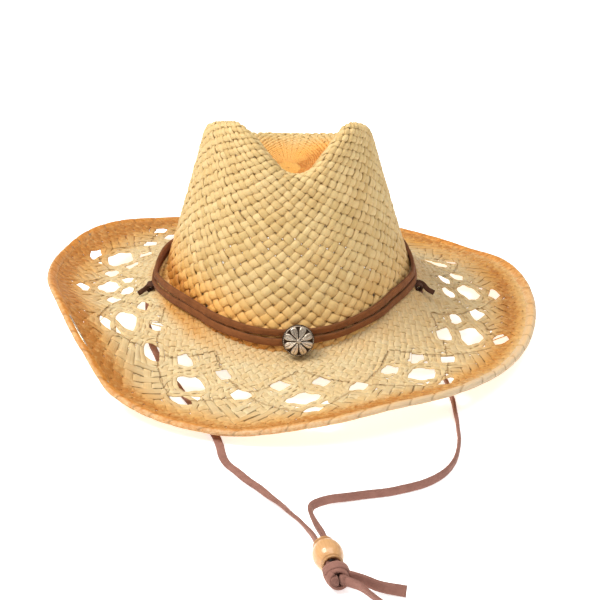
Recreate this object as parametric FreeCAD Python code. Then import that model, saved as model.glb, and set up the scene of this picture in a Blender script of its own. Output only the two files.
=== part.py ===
import FreeCAD, Part
import math
import os

"""Woven straw cowboy hat with an openwork brim, a lace hat band and a chin cord.

Units are millimetres. The front of the hat faces -Y, +X is on the right of somebody
looking at the front, and +Z is up. The origin is on the surface the hat stands on,
under the middle of the brim. Angles round the hat start at the front and grow
towards +X, so the right side is 90 degrees and the back is 180 degrees.
"""

Vec = FreeCAD.Vector

# ---------------------------------------------------------------- driving sizes
BRIM_HALF_WIDTH = 167.0        # to the middle of the rolled edge, across
BRIM_HALF_LENGTH = 184.0       # to the middle of the rolled edge, front to back
HEM_RADIUS = 2.0               # rolled straw edge
WIRE_RADIUS = 0.7              # shaping wire inside the rolled edge
BRIM_THICKNESS = 1.8
CROWN_THICKNESS = 1.6
BASE_HALF_WIDTH = 83.0         # crown where it meets the brim, outside
BASE_HALF_LENGTH = 100.0
RIDGE_HALF_WIDTH = 53.5        # outside of the crown's top ridge
RIDGE_HALF_LENGTH = 72.0
BASE_FRONT_HEIGHT = 21.0       # the brim break is lowest at the front and back
BASE_SIDE_RISE = 19.0          # and this much higher at the sides
BRIM_SAG = 6.0                 # dip between the crown and the edge, front and back
BRIM_SIDE_SAG = 8.0            # extra dip at the sides
LEFT_TUCK = 0.035              # how much of its reach the curled left edge gives up
DENT_FLOOR_HEIGHT = 110.0
LACE_WIDTH = 5.0
LACE_THICKNESS = 2.0
RUNNING_GAP = 0.3              # clearance between neighbouring soft pieces

# height of the rolled edge's centre round the brim: (angle, height).
# The left side curls up, the right side stays nearly flat, the back touches down.
EDGE_WAVE = (
    (-180, 2.4), (-165, 4.8), (-150, 11.0), (-125, 26.5), (-105, 31.0), (-85, 40.0),
    (-65, 50.0), (-50, 34.0), (-40, 14.5), (-14, 8.0), (5, 15.5), (22, 21.0), (45, 16.5),
    (62, 13.5), (90, 16.5), (108, 15.5), (128, 5.5), (150, 2.6),
)
# height of the crown's top ridge: a notch at the front between two peaks, low at the back
RIDGE_WAVE = (
    (-180, 111.5), (-140, 117.5), (-105, 134.0), (-75, 148.0), (-55, 156.5), (-40, 160.0),
    (-25, 153.0), (-12, 140.5), (-3, 132.5), (7, 130.3), (17, 132.5), (27, 141.5),
    (37, 150.0), (50, 156.5),
    (68, 150.0), (90, 137.0), (120, 123.5), (150, 114.5),
)

# openwork motifs round the brim: evenly spaced, but straying a little as hand weaving does
MOTIF_COUNT = 12
MOTIF_START = 4.0              # degrees from the front
MOTIF_RING = 0.52              # place from crown, 0, to edge, 1
MOTIF_STRAY_ROUND = 5.0        # degrees
MOTIF_STRAY_OUT = 0.06


def motif_place(number):
    """Angle and ring of one motif. The straying goes twice round the brim."""
    even = MOTIF_START + 360.0 / MOTIF_COUNT * number
    stray = math.sin(math.radians(2.0 * even))
    return even + MOTIF_STRAY_ROUND * stray, MOTIF_RING + MOTIF_STRAY_OUT * stray


MOTIFS = tuple(motif_place(number) for number in range(MOTIF_COUNT))

BAND_BACKING = 0.4             # gap between the hat band and the crown
STRAND_SPACING = 5.4           # centre to centre of the two band strands
CONCHO_ANGLE = 4.0
CONCHO_RADIUS = 10.0

LEFT_KNOT_ANGLE = -75.0
RIGHT_KNOT_ANGLE = 75.0
KNOT_SIZE = 7.0
KNOT_SEAT = 1.4                # height of its flat underside above the brim

BEAD_RADIUS = 8.2
BEAD_LENGTH = 19.0
BEAD_BORE_RADIUS = 5.6
BEAD_CENTRE = Vec(20.6, -311.5, BEAD_RADIUS)
BEAD_AIM = Vec(-0.23, 0.973, 0.0)    # along the cord, from the end knot towards the hat
CORD_PAIR_OFFSET = 2.6         # each strand's distance from the bead's axis

STEP_DEGREES = 10


# ---------------------------------------------------------------- curves by formula
def wave(table, angle):
    """Smooth closed curve through (angle, value) pairs, by cubic Hermite pieces."""
    count = len(table)
    angle = (angle + 180.0) % 360.0 - 180.0
    index = max(i for i in range(count) if table[i][0] <= angle + 1e-9)

    def knot(i):
        turns, place = divmod(i, count)
        return table[place][0] + 360.0 * turns, table[place][1]

    x0, y0 = knot(index - 1)
    x1, y1 = knot(index)
    x2, y2 = knot(index + 1)
    x3, y3 = knot(index + 2)
    slope1 = (y2 - y0) / (x2 - x0)
    slope2 = (y3 - y1) / (x3 - x1)
    span = x2 - x1
    t = (angle - x1) / span
    start = (1 + 2 * t) * (1 - t) ** 2 * y1 + t * (1 - t) ** 2 * span * slope1
    end = t * t * (3 - 2 * t) * y2 + t * t * (t - 1) * span * slope2
    return start + end


def oval(half_width, half_length, angle):
    """Point of an upright oval, as x and y."""
    a = math.radians(angle)
    return half_width * math.sin(a), -half_length * math.cos(a)


def mix(a, b, t):
    return a + (b - a) * t


def bump(angle, centre, width):
    d = (angle - centre + 180.0) % 360.0 - 180.0
    return math.exp(-(d / width) ** 2)


def base_height(angle):
    return BASE_FRONT_HEIGHT + BASE_SIDE_RISE * math.sin(math.radians(angle)) ** 2


def brim_point(angle, f, lift=0.0):
    """Top of the brim; f is 0 at the crown and 1 at the rolled edge."""
    x0, y0 = oval(BASE_HALF_WIDTH, BASE_HALF_LENGTH, angle)
    tuck = 1.0 - LEFT_TUCK * bump(angle, -82.0, 42.0)
    x1, y1 = oval(BRIM_HALF_WIDTH * tuck, BRIM_HALF_LENGTH * tuck, angle)
    side = math.sin(math.radians(angle)) ** 2
    sag = BRIM_SAG + BRIM_SIDE_SAG * side
    z = mix(base_height(angle), wave(EDGE_WAVE, angle), f) - 4.0 * sag * f * (1.0 - f)
    return Vec(mix(x0, x1, f), mix(y0, y1, f), z + lift)


def crown_point(angle, w):
    """Outside of the crown wall; w is 0 at the brim and 1 at the ridge."""
    x, y = oval(mix(BASE_HALF_WIDTH, RIDGE_HALF_WIDTH, w),
                mix(BASE_HALF_LENGTH, RIDGE_HALF_LENGTH, w), angle)
    return Vec(x, y, mix(base_height(angle), wave(RIDGE_WAVE, angle), w))


# how far down the dent's wall has come, at each share of the way in from the ridge
DENT_PROFILE = ((1.00, 1.00), (0.93, 0.94), (0.84, 0.74), (0.72, 0.46), (0.56, 0.22),
                (0.38, 0.07), (0.20, 0.0))


def dent_point(angle, share, height):
    x, y = oval((RIDGE_HALF_WIDTH - 4.0) * share, (RIDGE_HALF_LENGTH - 4.0) * share, angle)
    return Vec(x, y, mix(DENT_FLOOR_HEIGHT, wave(RIDGE_WAVE, angle), height))


def outside_normal(point, angle, place):
    """Unit normal of a surface given as point(angle, place), turned outward and up."""
    da = point(angle + 0.5, place) - point(angle - 0.5, place)
    dp = point(angle, place + 0.01) - point(angle, place - 0.01)
    normal = da.cross(dp)
    normal.normalize()
    return normal


# ---------------------------------------------------------------- solids from rails
def angles():
    return range(-180, 180, STEP_DEGREES)


def rail(points):
    """One closed smooth wire through points."""
    curve = Part.BSplineCurve()
    curve.interpolate(Points=points, PeriodicFlag=True)
    return Part.Wire(curve.toShape())


def strip(first, second):
    return Part.makeRuledSurface(first.Edges[0], second.Edges[0])


def solid_from(faces):
    shell = Part.Shell(faces)
    shell.sewShape()
    solid = Part.Solid(shell)
    if solid.Volume < 0:
        solid.reverse()
    return solid


def ring_solid(section):
    """Closed ring from section(angle), a list of points round the cross-section."""
    corners = [section(a) for a in angles()]
    rails = [rail([c[i] for c in corners]) for i in range(len(corners[0]))]
    faces = [strip(rails[i], rails[(i + 1) % len(rails)]) for i in range(len(rails))]
    return solid_from(faces)


def arc_path_tube(points, radius):
    """Round tube along straight runs joined by arcs; prints the bend radii."""
    edges = []
    radii = []
    start = points[0]
    for i in range(1, len(points) - 1):
        before = points[i - 1] - points[i]
        after = points[i + 1] - points[i]
        turn = math.pi - before.getAngle(after)
        reach = 0.45 * min(before.Length, after.Length)
        radii.append(reach / math.tan(turn / 2.0))
        b = Vec(before).normalize()
        a = Vec(after).normalize()
        corner_in = points[i] + b * reach
        corner_out = points[i] + a * reach
        bisector = (a + b).normalize()
        centre_distance = math.hypot(reach, radii[-1])
        middle = points[i] + bisector * (centre_distance - radii[-1])
        edges.append(Part.makeLine(start, corner_in))
        edges.append(Part.Arc(corner_in, middle, corner_out).toShape())
        start = corner_out
    edges.append(Part.makeLine(start, points[-1]))
    path = Part.Wire(edges)
    first_direction = (points[1] - points[0]).normalize()
    profile = Part.Wire(Part.makeCircle(radius, points[0], first_direction))
    tube = path.makePipeShell([profile], True, False)
    expected = math.pi * radius ** 2 * path.Length
    print("  bends %s  length %.1f  volume ratio %.3f" % (
        " ".join("%.0f" % r for r in radii), path.Length, tube.Volume / expected))
    return tube


# ---------------------------------------------------------------- crown and brim
def make_crown():
    outer = []
    inner = []
    for w in (0.0, 0.18, 0.36, 0.54, 0.72, 0.86, 0.95):
        outer.append(rail([crown_point(a, w) for a in angles()]))
        shell_points = []
        for a in angles():
            normal = outside_normal(crown_point, a, w)
            shell_points.append(crown_point(a, w) - normal * CROWN_THICKNESS)
        inner.append(rail(shell_points))
    for share, height in DENT_PROFILE:
        outer.append(rail([dent_point(a, share, height) for a in angles()]))
        drop = Vec(0, 0, CROWN_THICKNESS * (1.25 if share > 0.5 else 1.0))
        squeeze = 1.0 - 0.5 * CROWN_THICKNESS / RIDGE_HALF_WIDTH * (1.0 if share < 0.95 else 0.0)
        inner.append(rail([dent_point(a, share * squeeze, height) - drop for a in angles()]))
    faces = [strip(outer[i], outer[i + 1]) for i in range(len(outer) - 1)]
    faces += [strip(inner[i], inner[i + 1]) for i in range(len(inner) - 1)]
    faces += [Part.Face(outer[-1]), Part.Face(inner[-1]), strip(outer[0], inner[0])]
    return solid_from(faces)


def motif_holes():
    """Upright prisms for the openwork: one large lozenge and smaller ones in each motif."""
    pieces = []
    # (share of the spacing round, place towards the edge, half length, half depth)
    pattern = ((0.0, 0.0, 10.5, 6.5), (-0.20, -0.18, 5.2, 3.6), (0.20, -0.18, 5.2, 3.6),
               (0.05, 0.16, 5.4, 3.0), (0.46, -0.02, 5.6, 4.0))
    for number, (place, ring) in enumerate(MOTIFS):
        following = MOTIFS[(number + 1) % len(MOTIFS)][0]
        spacing = (following - place) % 360.0
        for shift, step, half_long, half_deep in pattern:
            angle = place + shift * spacing
            centre = brim_point(angle, ring + step)
            along = brim_point(angle + 1, ring) - brim_point(angle - 1, ring)
            along.z = 0
            along.normalize()
            out = Vec(along.y, -along.x, 0)
            corners = [centre + along * half_long, centre + out * half_deep,
                       centre - along * half_long, centre - out * half_deep]
            floor = [Vec(c.x, c.y, -20) for c in corners]
            outline = Part.makePolygon(floor + [floor[0]])
            pieces.append(Part.Face(outline).extrude(Vec(0, 0, 100)))
    return pieces


def knot_place(angle):
    """Where a side knot sits on the brim, just outside the hat band."""
    f = 0.165 if angle < 0 else 0.09
    return brim_point(angle, f)


def make_brim():
    top = []
    bottom = []
    places = (0.0, 0.08, 0.2, 0.35, 0.5, 0.65, 0.8, 0.92)
    last = 1.0 - (HEM_RADIUS + 0.15) / 84.0

    def section(angle):
        points = []
        inner_x, inner_y = oval(BASE_HALF_WIDTH - 1.6, BASE_HALF_LENGTH - 1.6, angle)
        lip = brim_point(angle, 0.0, -0.05)
        points.append(Vec(inner_x, inner_y, lip.z))
        for f in places + (last,):
            points.append(brim_point(angle, f, -0.05 if f == 0.0 else 0.0))
        for f in (last,) + places[::-1]:
            points.append(brim_point(angle, f, -BRIM_THICKNESS))
        points.append(Vec(inner_x, inner_y, lip.z - BRIM_THICKNESS))
        return points

    solid = ring_solid(section)
    holes = motif_holes()
    for angle in (LEFT_KNOT_ANGLE, RIGHT_KNOT_ANGLE):
        place = knot_place(angle)
        holes.append(Part.makeCylinder(LACE_WIDTH / 2 + 0.8, 30, Vec(place.x, place.y, place.z - 15)))
    return solid.cut(Part.makeCompound(holes))


def hem_ring(radius):
    """Rolled edge or wire: a tube of this radius round the brim's rim."""
    lift = Vec(0, 0, 0)

    def section(angle):
        centre = brim_point(angle, 1.0) + lift
        inside = brim_point(angle, 0.98)
        out = Vec(centre.x - inside.x, centre.y - inside.y, 0).normalize()
        points = []
        for k in range(8):
            turn = math.radians(45 * k + 22.5)
            reach = radius / math.cos(math.radians(22.5))
            points.append(centre + out * (reach * math.cos(turn)) + Vec(0, 0, reach * math.sin(turn)))
        return points

    return ring_solid(section)


def make_hem():
    return hem_ring(HEM_RADIUS).cut(hem_ring(WIRE_RADIUS + 0.1))


# ---------------------------------------------------------------- sweatband
SWEATBAND_HEIGHT = 28.0
SWEATBAND_THICKNESS = 1.2


def sweatband_point(angle, rise, depth):
    """rise is above the brim break, depth is inward from the crown's inner face."""
    share = rise / (wave(RIDGE_WAVE, angle) - base_height(angle))
    point = crown_point(angle, share)
    normal = outside_normal(crown_point, angle, max(share, 0.02))
    return point - normal * (CROWN_THICKNESS + RUNNING_GAP + depth)


def make_sweatband():
    def section(angle):
        low = 1.5
        high = low + SWEATBAND_HEIGHT
        return [sweatband_point(angle, low, 0.0), sweatband_point(angle, high, 0.0),
                sweatband_point(angle, high, SWEATBAND_THICKNESS),
                sweatband_point(angle, low, SWEATBAND_THICKNESS)]

    return ring_solid(section)


def make_stitching():
    """Running stitches just above the sweatband's lower edge, as one group of threads."""
    stitches = []
    for number in range(72):
        angle = -180 + number * 5.0
        start = sweatband_point(angle, 5.0, SWEATBAND_THICKNESS + 0.45)
        end = sweatband_point(angle + 2.6, 5.0, SWEATBAND_THICKNESS + 0.45)
        stitches.append(Part.makeCylinder(0.35, (end - start).Length, start, end - start))
    return Part.makeCompound(stitches)


# ---------------------------------------------------------------- hat band
def band_stand_off(angle):
    """Extra distance of the band from the crown: at the concho and towards the side knots."""
    at_concho = 2.4 * bump(angle, CONCHO_ANGLE, 8.0)
    at_left = 6.6 * bump(angle, LEFT_KNOT_ANGLE, 30.0)
    at_right = 1.6 * bump(angle, RIGHT_KNOT_ANGLE, 20.0)
    return at_concho + at_left + at_right


def band_height(angle, strand):
    """Centre height of a strand: 0 is the lower one and 1 the upper one."""
    front = math.cos(math.radians(angle)) ** 2
    drop = 2.5 * bump(angle, LEFT_KNOT_ANGLE, 26.0) + 1.2 * bump(angle, RIGHT_KNOT_ANGLE, 22.0)
    middle = base_height(angle) + 5.0 + 6.0 * front - drop
    spacing = STRAND_SPACING + 3.8 * bump(angle, CONCHO_ANGLE, 8.0)
    return middle + (strand - 0.5) * spacing


def band_point(angle, strand, rise, depth):
    z = band_height(angle, strand) + rise
    share = (z - base_height(angle)) / (wave(RIDGE_WAVE, angle) - base_height(angle))
    surface = crown_point(angle, share)
    out = Vec(surface.x / BASE_HALF_WIDTH ** 2, surface.y / BASE_HALF_LENGTH ** 2, 0).normalize()
    return surface + out * (BAND_BACKING + band_stand_off(angle) + depth)


def make_band_strand(strand):
    half = LACE_WIDTH / 2

    def section(angle):
        return [band_point(angle, strand, -half, 0.0), band_point(angle, strand, half, 0.0),
                band_point(angle, strand, half, LACE_THICKNESS),
                band_point(angle, strand, -half, LACE_THICKNESS)]

    return ring_solid(section)


def make_side_knot(angle):
    """Small overhand knot on the brim, flat below where the chin cord comes up to it."""
    place = knot_place(angle)
    ball = Part.makeSphere(KNOT_SIZE / 2)
    stretch = FreeCAD.Matrix()
    stretch.scale(Vec(0.86, 1.1, 0.95))
    ball = ball.transformGeometry(stretch)
    seat = place.z + KNOT_SEAT
    ball.translate(Vec(place.x, place.y, seat + KNOT_SIZE * 0.36))
    under = Part.makeBox(20, 20, 20, Vec(place.x - 10, place.y - 10, seat - 20))
    return ball.cut(under)


# ---------------------------------------------------------------- concho
def concho_frame():
    """Centre on the crown's surface and outward axis of the concho."""
    z_mid = 0.5 * (band_height(CONCHO_ANGLE, 0) + band_height(CONCHO_ANGLE, 1)) - 1.1
    rise = wave(RIDGE_WAVE, CONCHO_ANGLE) - base_height(CONCHO_ANGLE)
    share = (z_mid - base_height(CONCHO_ANGLE)) / rise
    return crown_point(CONCHO_ANGLE, share), outside_normal(crown_point, CONCHO_ANGLE, share)


NUT_START = 0.5
NUT_THICKNESS = 1.4
CAP_START = 5.3
POST_RADIUS = 1.25


def on_concho_axis(shape):
    """Moves a shape built along +Z onto the concho's axis."""
    centre, axis = concho_frame()
    shape.Placement = FreeCAD.Placement(centre, FreeCAD.Rotation(Vec(0, 0, 1), axis))
    return shape


def make_concho_cap():
    """Domed disc with a rolled rim, eight raised petals and a centre boss."""
    radius = CONCHO_RADIUS
    rim = [Vec(0, 0, CAP_START), Vec(radius - 0.6, 0, CAP_START), Vec(radius, 0, CAP_START + 0.6),
           Vec(radius, 0, CAP_START + 1.2), Vec(radius - 0.8, 0, CAP_START + 1.7)]
    top = Vec(0, 0, CAP_START + 4.0)
    dome = Part.Arc(rim[-1], Vec(radius * 0.55, 0, CAP_START + 3.4), top).toShape()
    edges = [Part.makeLine(rim[i], rim[i + 1]) for i in range(4)] + [dome, Part.makeLine(top, rim[0])]
    cap = Part.Face(Part.Wire(edges)).revolve(Vec(0, 0, 0), Vec(0, 0, 1), 360)
    cap = Part.Solid(cap.Shells[0]) if cap.ShapeType != "Solid" else cap
    petals = []
    for k in range(8):
        petal = Part.makeSphere(1.0)
        stretch = FreeCAD.Matrix()
        stretch.scale(Vec(3.3, 1.5, 1.1))
        petal = petal.transformGeometry(stretch)
        petal.rotate(Vec(0, 0, 0), Vec(0, 1, 0), 14)
        petal.translate(Vec(6.0, 0, CAP_START + 2.9))
        petal.rotate(Vec(0, 0, 0), Vec(0, 0, 1), 45 * k + 22.5)
        petals.append(petal)
    boss = Part.makeSphere(1.9, Vec(0, 0, CAP_START + 3.7))
    return on_concho_axis(cap.fuse(petals + [boss]))


def make_concho_post():
    return on_concho_axis(Part.makeCylinder(POST_RADIUS, CAP_START - NUT_START, Vec(0, 0, NUT_START)))


def make_concho_nut():
    """Round nut between the crown and the band strands."""
    nut = Part.makeCylinder(4.2, NUT_THICKNESS, Vec(0, 0, NUT_START))
    return on_concho_axis(nut.cut(Part.makeCylinder(POST_RADIUS + 0.05, 5, Vec(0, 0, NUT_START - 1))))


# ---------------------------------------------------------------- chin cord
CORD_RADIUS = LACE_WIDTH / 2
GROUND = CORD_RADIUS + 0.1     # centre height of the cord where it lies on the surface
CORD_KNOT_GAP = 0.4            # a cord's top stays this far under its knot's centre plane


def bead_place(along, side=0.0, rise=0.0):
    """Point near the bead: along the cord towards the hat, to its right, and up."""
    across = Vec(BEAD_AIM.y, -BEAD_AIM.x, 0)
    return BEAD_CENTRE + BEAD_AIM * along + across * side + Vec(0, 0, rise)


def cord_top(angle):
    """Where a chin cord meets its side knot, just above the brim."""
    place = knot_place(angle)
    return Vec(place.x, place.y, place.z + KNOT_SEAT - CORD_KNOT_GAP)


KNOT_FACE = -(BEAD_LENGTH / 2 + 1.2)     # end knot's face towards the bead

# hand-laid routes, from below the brim's side hole to where the strands pair up
LEFT_ROUTE = (
    (-93.8, -30.3, 19.0),
    (-93.6, -40.5, 8.0),
    (-88.6, -57.0, 3.2),
    (-78.5, -88.0, GROUND),
    (-65.5, -119.0, GROUND),
    (-52.0, -150.0, GROUND),
    (-41.0, -178.0, GROUND),
    (-39.0, -200.0, GROUND),
    (-27.0, -218.5, GROUND),
    (-12.5, -239.0, GROUND),
    (-1.5, -257.5, 3.6),
)
RIGHT_ROUTE = (
    (87.6, -28.8, 19.0),
    (88.5, -39.5, 8.0),
    (93.0, -57.5, 3.4),
    (99.5, -89.0, GROUND),
    (102.5, -123.0, GROUND),
    (102.8, -155.0, GROUND),
    (101.5, -187.0, GROUND),
    (94.0, -213.0, GROUND),
    (79.0, -229.5, GROUND),
    (57.0, -239.0, GROUND),
    (36.0, -243.5, 2.8),
    (19.0, -249.0, 3.4),
    (10.3, -258.5, 4.6),
)
PAIR_BEND = 16.0               # the strands run parallel this far from the bead's centre
PAIR_PART = 31.0               # and part from each other here
# the cut tails, from the end knot
SHORT_TAIL = ((35.6, -336.7, 6.7), (43.0, -343.5, 4.2), (51.0, -351.5, GROUND))
LONG_TAIL = ((38.1, -332.2, 6.7), (48.0, -335.8, 4.2), (60.0, -337.6, GROUND))


def cord_points(side):
    """Control points of one chin cord, from its side knot to the end knot."""
    left = side < 0
    start = cord_top(LEFT_KNOT_ANGLE if left else RIGHT_KNOT_ANGLE)
    route = [start] + [Vec(*p) for p in (LEFT_ROUTE if left else RIGHT_ROUTE)]
    spread = -3.6 if left else 2.2
    route.append(bead_place(PAIR_PART, spread, -1.6))
    route.append(bead_place(PAIR_BEND, side * CORD_PAIR_OFFSET))
    route.append(bead_place(KNOT_FACE, side * CORD_PAIR_OFFSET))
    return route


def make_cord(side):
    return arc_path_tube(cord_points(side), CORD_RADIUS)


def make_bead():
    """Oval wooden bead with a wide bore for both strands."""
    stretch = FreeCAD.Matrix()
    stretch.scale(Vec(BEAD_RADIUS, BEAD_RADIUS, BEAD_LENGTH / 2 * 1.06))
    body = Part.makeSphere(1.0).transformGeometry(stretch)
    half = BEAD_LENGTH / 2
    body = body.common(Part.makeCylinder(BEAD_RADIUS * 2, BEAD_LENGTH, Vec(0, 0, -half)))
    body = body.cut(Part.makeCylinder(BEAD_BORE_RADIUS, BEAD_LENGTH * 2, Vec(0, 0, -BEAD_LENGTH)))
    body.Placement = FreeCAD.Placement(BEAD_CENTRE, FreeCAD.Rotation(Vec(0, 0, 1), BEAD_AIM))
    return body


END_KNOT_HALF = 6.5            # half its length along the cord
END_KNOT_WIDE = 7.6            # half its width, and half its height below
END_KNOT_TALL = 6.9
TAIL_FACE = 5.8                # the face where the tails leave, from the knot's centre
TAIL_WAY = Vec(0.894, -0.447, 0.0)
TAIL_SIDE = Vec(0.447, 0.894, 0.0)


def end_knot_centre():
    return bead_place(KNOT_FACE - END_KNOT_HALF - 0.05, 0, -1.0)


def make_end_knot():
    """Overhand knot of both strands, flat where the strands enter and where the tails leave."""
    stretch = FreeCAD.Matrix()
    stretch.scale(Vec(END_KNOT_WIDE, END_KNOT_TALL, END_KNOT_HALF * 1.15))
    body = Part.makeSphere(1.0).transformGeometry(stretch)
    body = body.common(Part.makeBox(40, 40, END_KNOT_HALF * 2, Vec(-20, -20, -END_KNOT_HALF)))
    centre = end_knot_centre()
    body.Placement = FreeCAD.Placement(centre, FreeCAD.Rotation(Vec(0, 0, 1), BEAD_AIM))
    beyond = Part.makeBox(30, 30, 30, Vec(0, -15, -15))
    beyond.Placement = FreeCAD.Placement(centre + TAIL_WAY * TAIL_FACE,
                                         FreeCAD.Rotation(Vec(1, 0, 0), TAIL_WAY))
    return body.cut(beyond)


def tail_points(side):
    """The two cut tails beyond the end knot, lying down onto the surface."""
    start = end_knot_centre() + TAIL_WAY * (TAIL_FACE + 0.05) + TAIL_SIDE * (side * CORD_PAIR_OFFSET)
    start.z = start.z - 0.5
    return [start] + [Vec(*p) for p in (SHORT_TAIL if side < 0 else LONG_TAIL)]


def make_tail(side):
    return arc_path_tube(tail_points(side), CORD_RADIUS)


# ---------------------------------------------------------------- all the nodes
NODES = (
    ("crown", make_crown),
    ("brim", make_brim),
    ("brim_hem", make_hem),
    ("brim_wire", lambda: hem_ring(WIRE_RADIUS)),
    ("sweatband", make_sweatband),
    ("sweatband_stitching", make_stitching),
    ("hat_band_lower_strand", lambda: make_band_strand(0)),
    ("hat_band_upper_strand", lambda: make_band_strand(1)),
    ("left_band_knot", lambda: make_side_knot(LEFT_KNOT_ANGLE)),
    ("right_band_knot", lambda: make_side_knot(RIGHT_KNOT_ANGLE)),
    ("concho_cap", make_concho_cap),
    ("concho_post", make_concho_post),
    ("concho_nut", make_concho_nut),
    ("chin_cord_left", lambda: make_cord(-1)),
    ("chin_cord_right", lambda: make_cord(1)),
    ("slider_bead", make_bead),
    ("end_knot", make_end_knot),
    ("cord_tail_short", lambda: make_tail(-1)),
    ("cord_tail_long", lambda: make_tail(1)),
)


def main():
    os.makedirs("parts", exist_ok=True)
    for name, make in NODES:
        shape = make()
        box = shape.BoundBox
        print("%-24s solids %d valid %s volume %9.1f  x %.1f..%.1f  y %.1f..%.1f  z %.1f..%.1f" % (
            name, len(shape.Solids), shape.isValid(), shape.Volume,
            box.XMin, box.XMax, box.YMin, box.YMax, box.ZMin, box.ZMax))
        shape.exportStep("parts/%s.step" % name)


main()
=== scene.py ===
"""A woven straw cowboy hat with an openwork brim, a suede band and chin cords, a concho and a bead."""
import bpy
import math
import numpy as np
from mathutils import Matrix, Vector


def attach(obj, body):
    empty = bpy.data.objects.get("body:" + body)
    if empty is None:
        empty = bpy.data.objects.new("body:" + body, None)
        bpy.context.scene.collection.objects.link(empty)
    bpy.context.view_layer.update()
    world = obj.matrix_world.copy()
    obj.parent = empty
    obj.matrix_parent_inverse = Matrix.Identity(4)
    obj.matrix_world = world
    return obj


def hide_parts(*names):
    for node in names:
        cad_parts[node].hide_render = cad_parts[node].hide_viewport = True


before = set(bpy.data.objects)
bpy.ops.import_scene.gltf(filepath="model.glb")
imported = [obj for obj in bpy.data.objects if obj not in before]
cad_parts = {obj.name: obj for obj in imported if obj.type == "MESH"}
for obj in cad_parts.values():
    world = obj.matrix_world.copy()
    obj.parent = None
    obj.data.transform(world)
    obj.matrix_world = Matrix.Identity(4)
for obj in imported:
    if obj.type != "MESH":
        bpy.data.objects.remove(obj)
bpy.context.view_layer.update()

MM = 0.001
RNG = np.random.default_rng(11)

# ---------------------------------------------------------------- driving sizes, in millimetres
BRIM_HALF_WIDTH = 167.0
BRIM_HALF_LENGTH = 184.0
HEM_RADIUS = 2.0
BASE_HALF_WIDTH = 83.0
BASE_HALF_LENGTH = 100.0
RIDGE_HALF_WIDTH = 53.5
RIDGE_HALF_LENGTH = 72.0
BASE_FRONT_HEIGHT = 21.0
BASE_SIDE_RISE = 19.0
BRIM_SAG = 6.0
BRIM_SIDE_SAG = 8.0
LEFT_TUCK = 0.035
DENT_FLOOR_HEIGHT = 110.0
CROWN_THICKNESS = 1.6
LACE_WIDTH = 5.0
LACE_THICKNESS = 2.0
CONCHO_ANGLE = 4.0
CONCHO_RADIUS = 10.0
LEFT_KNOT_ANGLE = -75.0
RIGHT_KNOT_ANGLE = 75.0
BEAD_RADIUS = 8.2
BEAD_LENGTH = 19.0
BEAD_BORE_RADIUS = 5.6
BEAD_CENTRE = (20.6, -311.5, 8.2)
BEAD_AIM = (-0.23, 0.973, 0.0)
CROWN_STRANDS = 56
BRIM_STRANDS = 108
STRAND_SPACING = 5.4
# openwork motifs round the brim: evenly spaced, but straying a little as hand weaving does
MOTIF_COUNT = 12
MOTIF_START = 4.0              # degrees from the front
MOTIF_RING = 0.52              # place from crown, 0, to edge, 1
MOTIF_STRAY_ROUND = 5.0        # degrees
MOTIF_STRAY_OUT = 0.06


def motif_place(number):
    """Angle and ring of one motif. The straying goes twice round the brim."""
    even = MOTIF_START + 360.0 / MOTIF_COUNT * number
    stray = math.sin(math.radians(2.0 * even))
    return even + MOTIF_STRAY_ROUND * stray, MOTIF_RING + MOTIF_STRAY_OUT * stray


MOTIFS = tuple(motif_place(number) for number in range(MOTIF_COUNT))

# height of the brim's edge and of the crown's ridge round the hat: angle from the front, height
EDGE_WAVE = (
    (-180, 2.4), (-165, 4.8), (-150, 11.0), (-125, 26.5), (-105, 31.0), (-85, 40.0),
    (-65, 50.0), (-50, 34.0), (-40, 14.5), (-14, 8.0), (5, 15.5), (22, 21.0),
    (45, 16.5), (62, 13.5), (90, 16.5), (108, 15.5), (128, 5.5), (150, 2.6),
)
RIDGE_WAVE = (
    (-180, 111.5), (-140, 117.5), (-105, 134.0), (-75, 148.0), (-55, 156.5), (-40, 160.0),
    (-25, 153.0), (-12, 140.5), (-3, 132.5), (7, 130.3), (17, 132.5), (27, 141.5),
    (37, 150.0), (50, 156.5),
    (68, 150.0), (90, 137.0), (120, 123.5), (150, 114.5),
)
# the crease of the crown, from the ridge to its floor: share of the oval, share of the height
DENT_PROFILE = (
    (1.00, 1.00), (0.93, 0.94), (0.84, 0.74), (0.72, 0.46), (0.56, 0.22), (0.38, 0.07), (0.20, 0.0),
)


# ---------------------------------------------------------------- shape of the hat
def wave(table, angle):
    """Smooth periodic height round the hat."""
    xs = np.array([a for a, _ in table], float)
    ys = np.array([h for _, h in table], float)
    xs = np.concatenate([xs[-2:] - 360, xs, xs[:2] + 360])
    ys = np.concatenate([ys[-2:], ys, ys[:2]])
    slope = np.zeros_like(ys)
    slope[1:-1] = (ys[2:] - ys[:-2]) / (xs[2:] - xs[:-2])
    a = (np.asarray(angle, float) + 180) % 360 - 180
    i = np.clip(np.searchsorted(xs, a, side="right") - 1, 1, len(xs) - 3)
    span = xs[i + 1] - xs[i]
    t = (a - xs[i]) / span
    return ((2 * t ** 3 - 3 * t ** 2 + 1) * ys[i] + (t ** 3 - 2 * t ** 2 + t) * span * slope[i]
            + (3 * t ** 2 - 2 * t ** 3) * ys[i + 1] + (t ** 3 - t ** 2) * span * slope[i + 1])


def smooth(x, low=0.0, high=1.0):
    t = np.clip((np.asarray(x, float) - low) / (high - low), 0, 1)
    return t * t * (3 - 2 * t)


def bump(angle, centre, width):
    """1 at the centre angle, falling smoothly to 0 at the given width."""
    away = np.abs((np.asarray(angle, float) - centre + 180) % 360 - 180) / width
    return np.where(away < 1, 0.5 + 0.5 * np.cos(math.pi * np.clip(away, 0, 1)), 0.0)


def base_height(angle):
    return BASE_FRONT_HEIGHT + BASE_SIDE_RISE * np.sin(np.radians(angle)) ** 2


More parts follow.
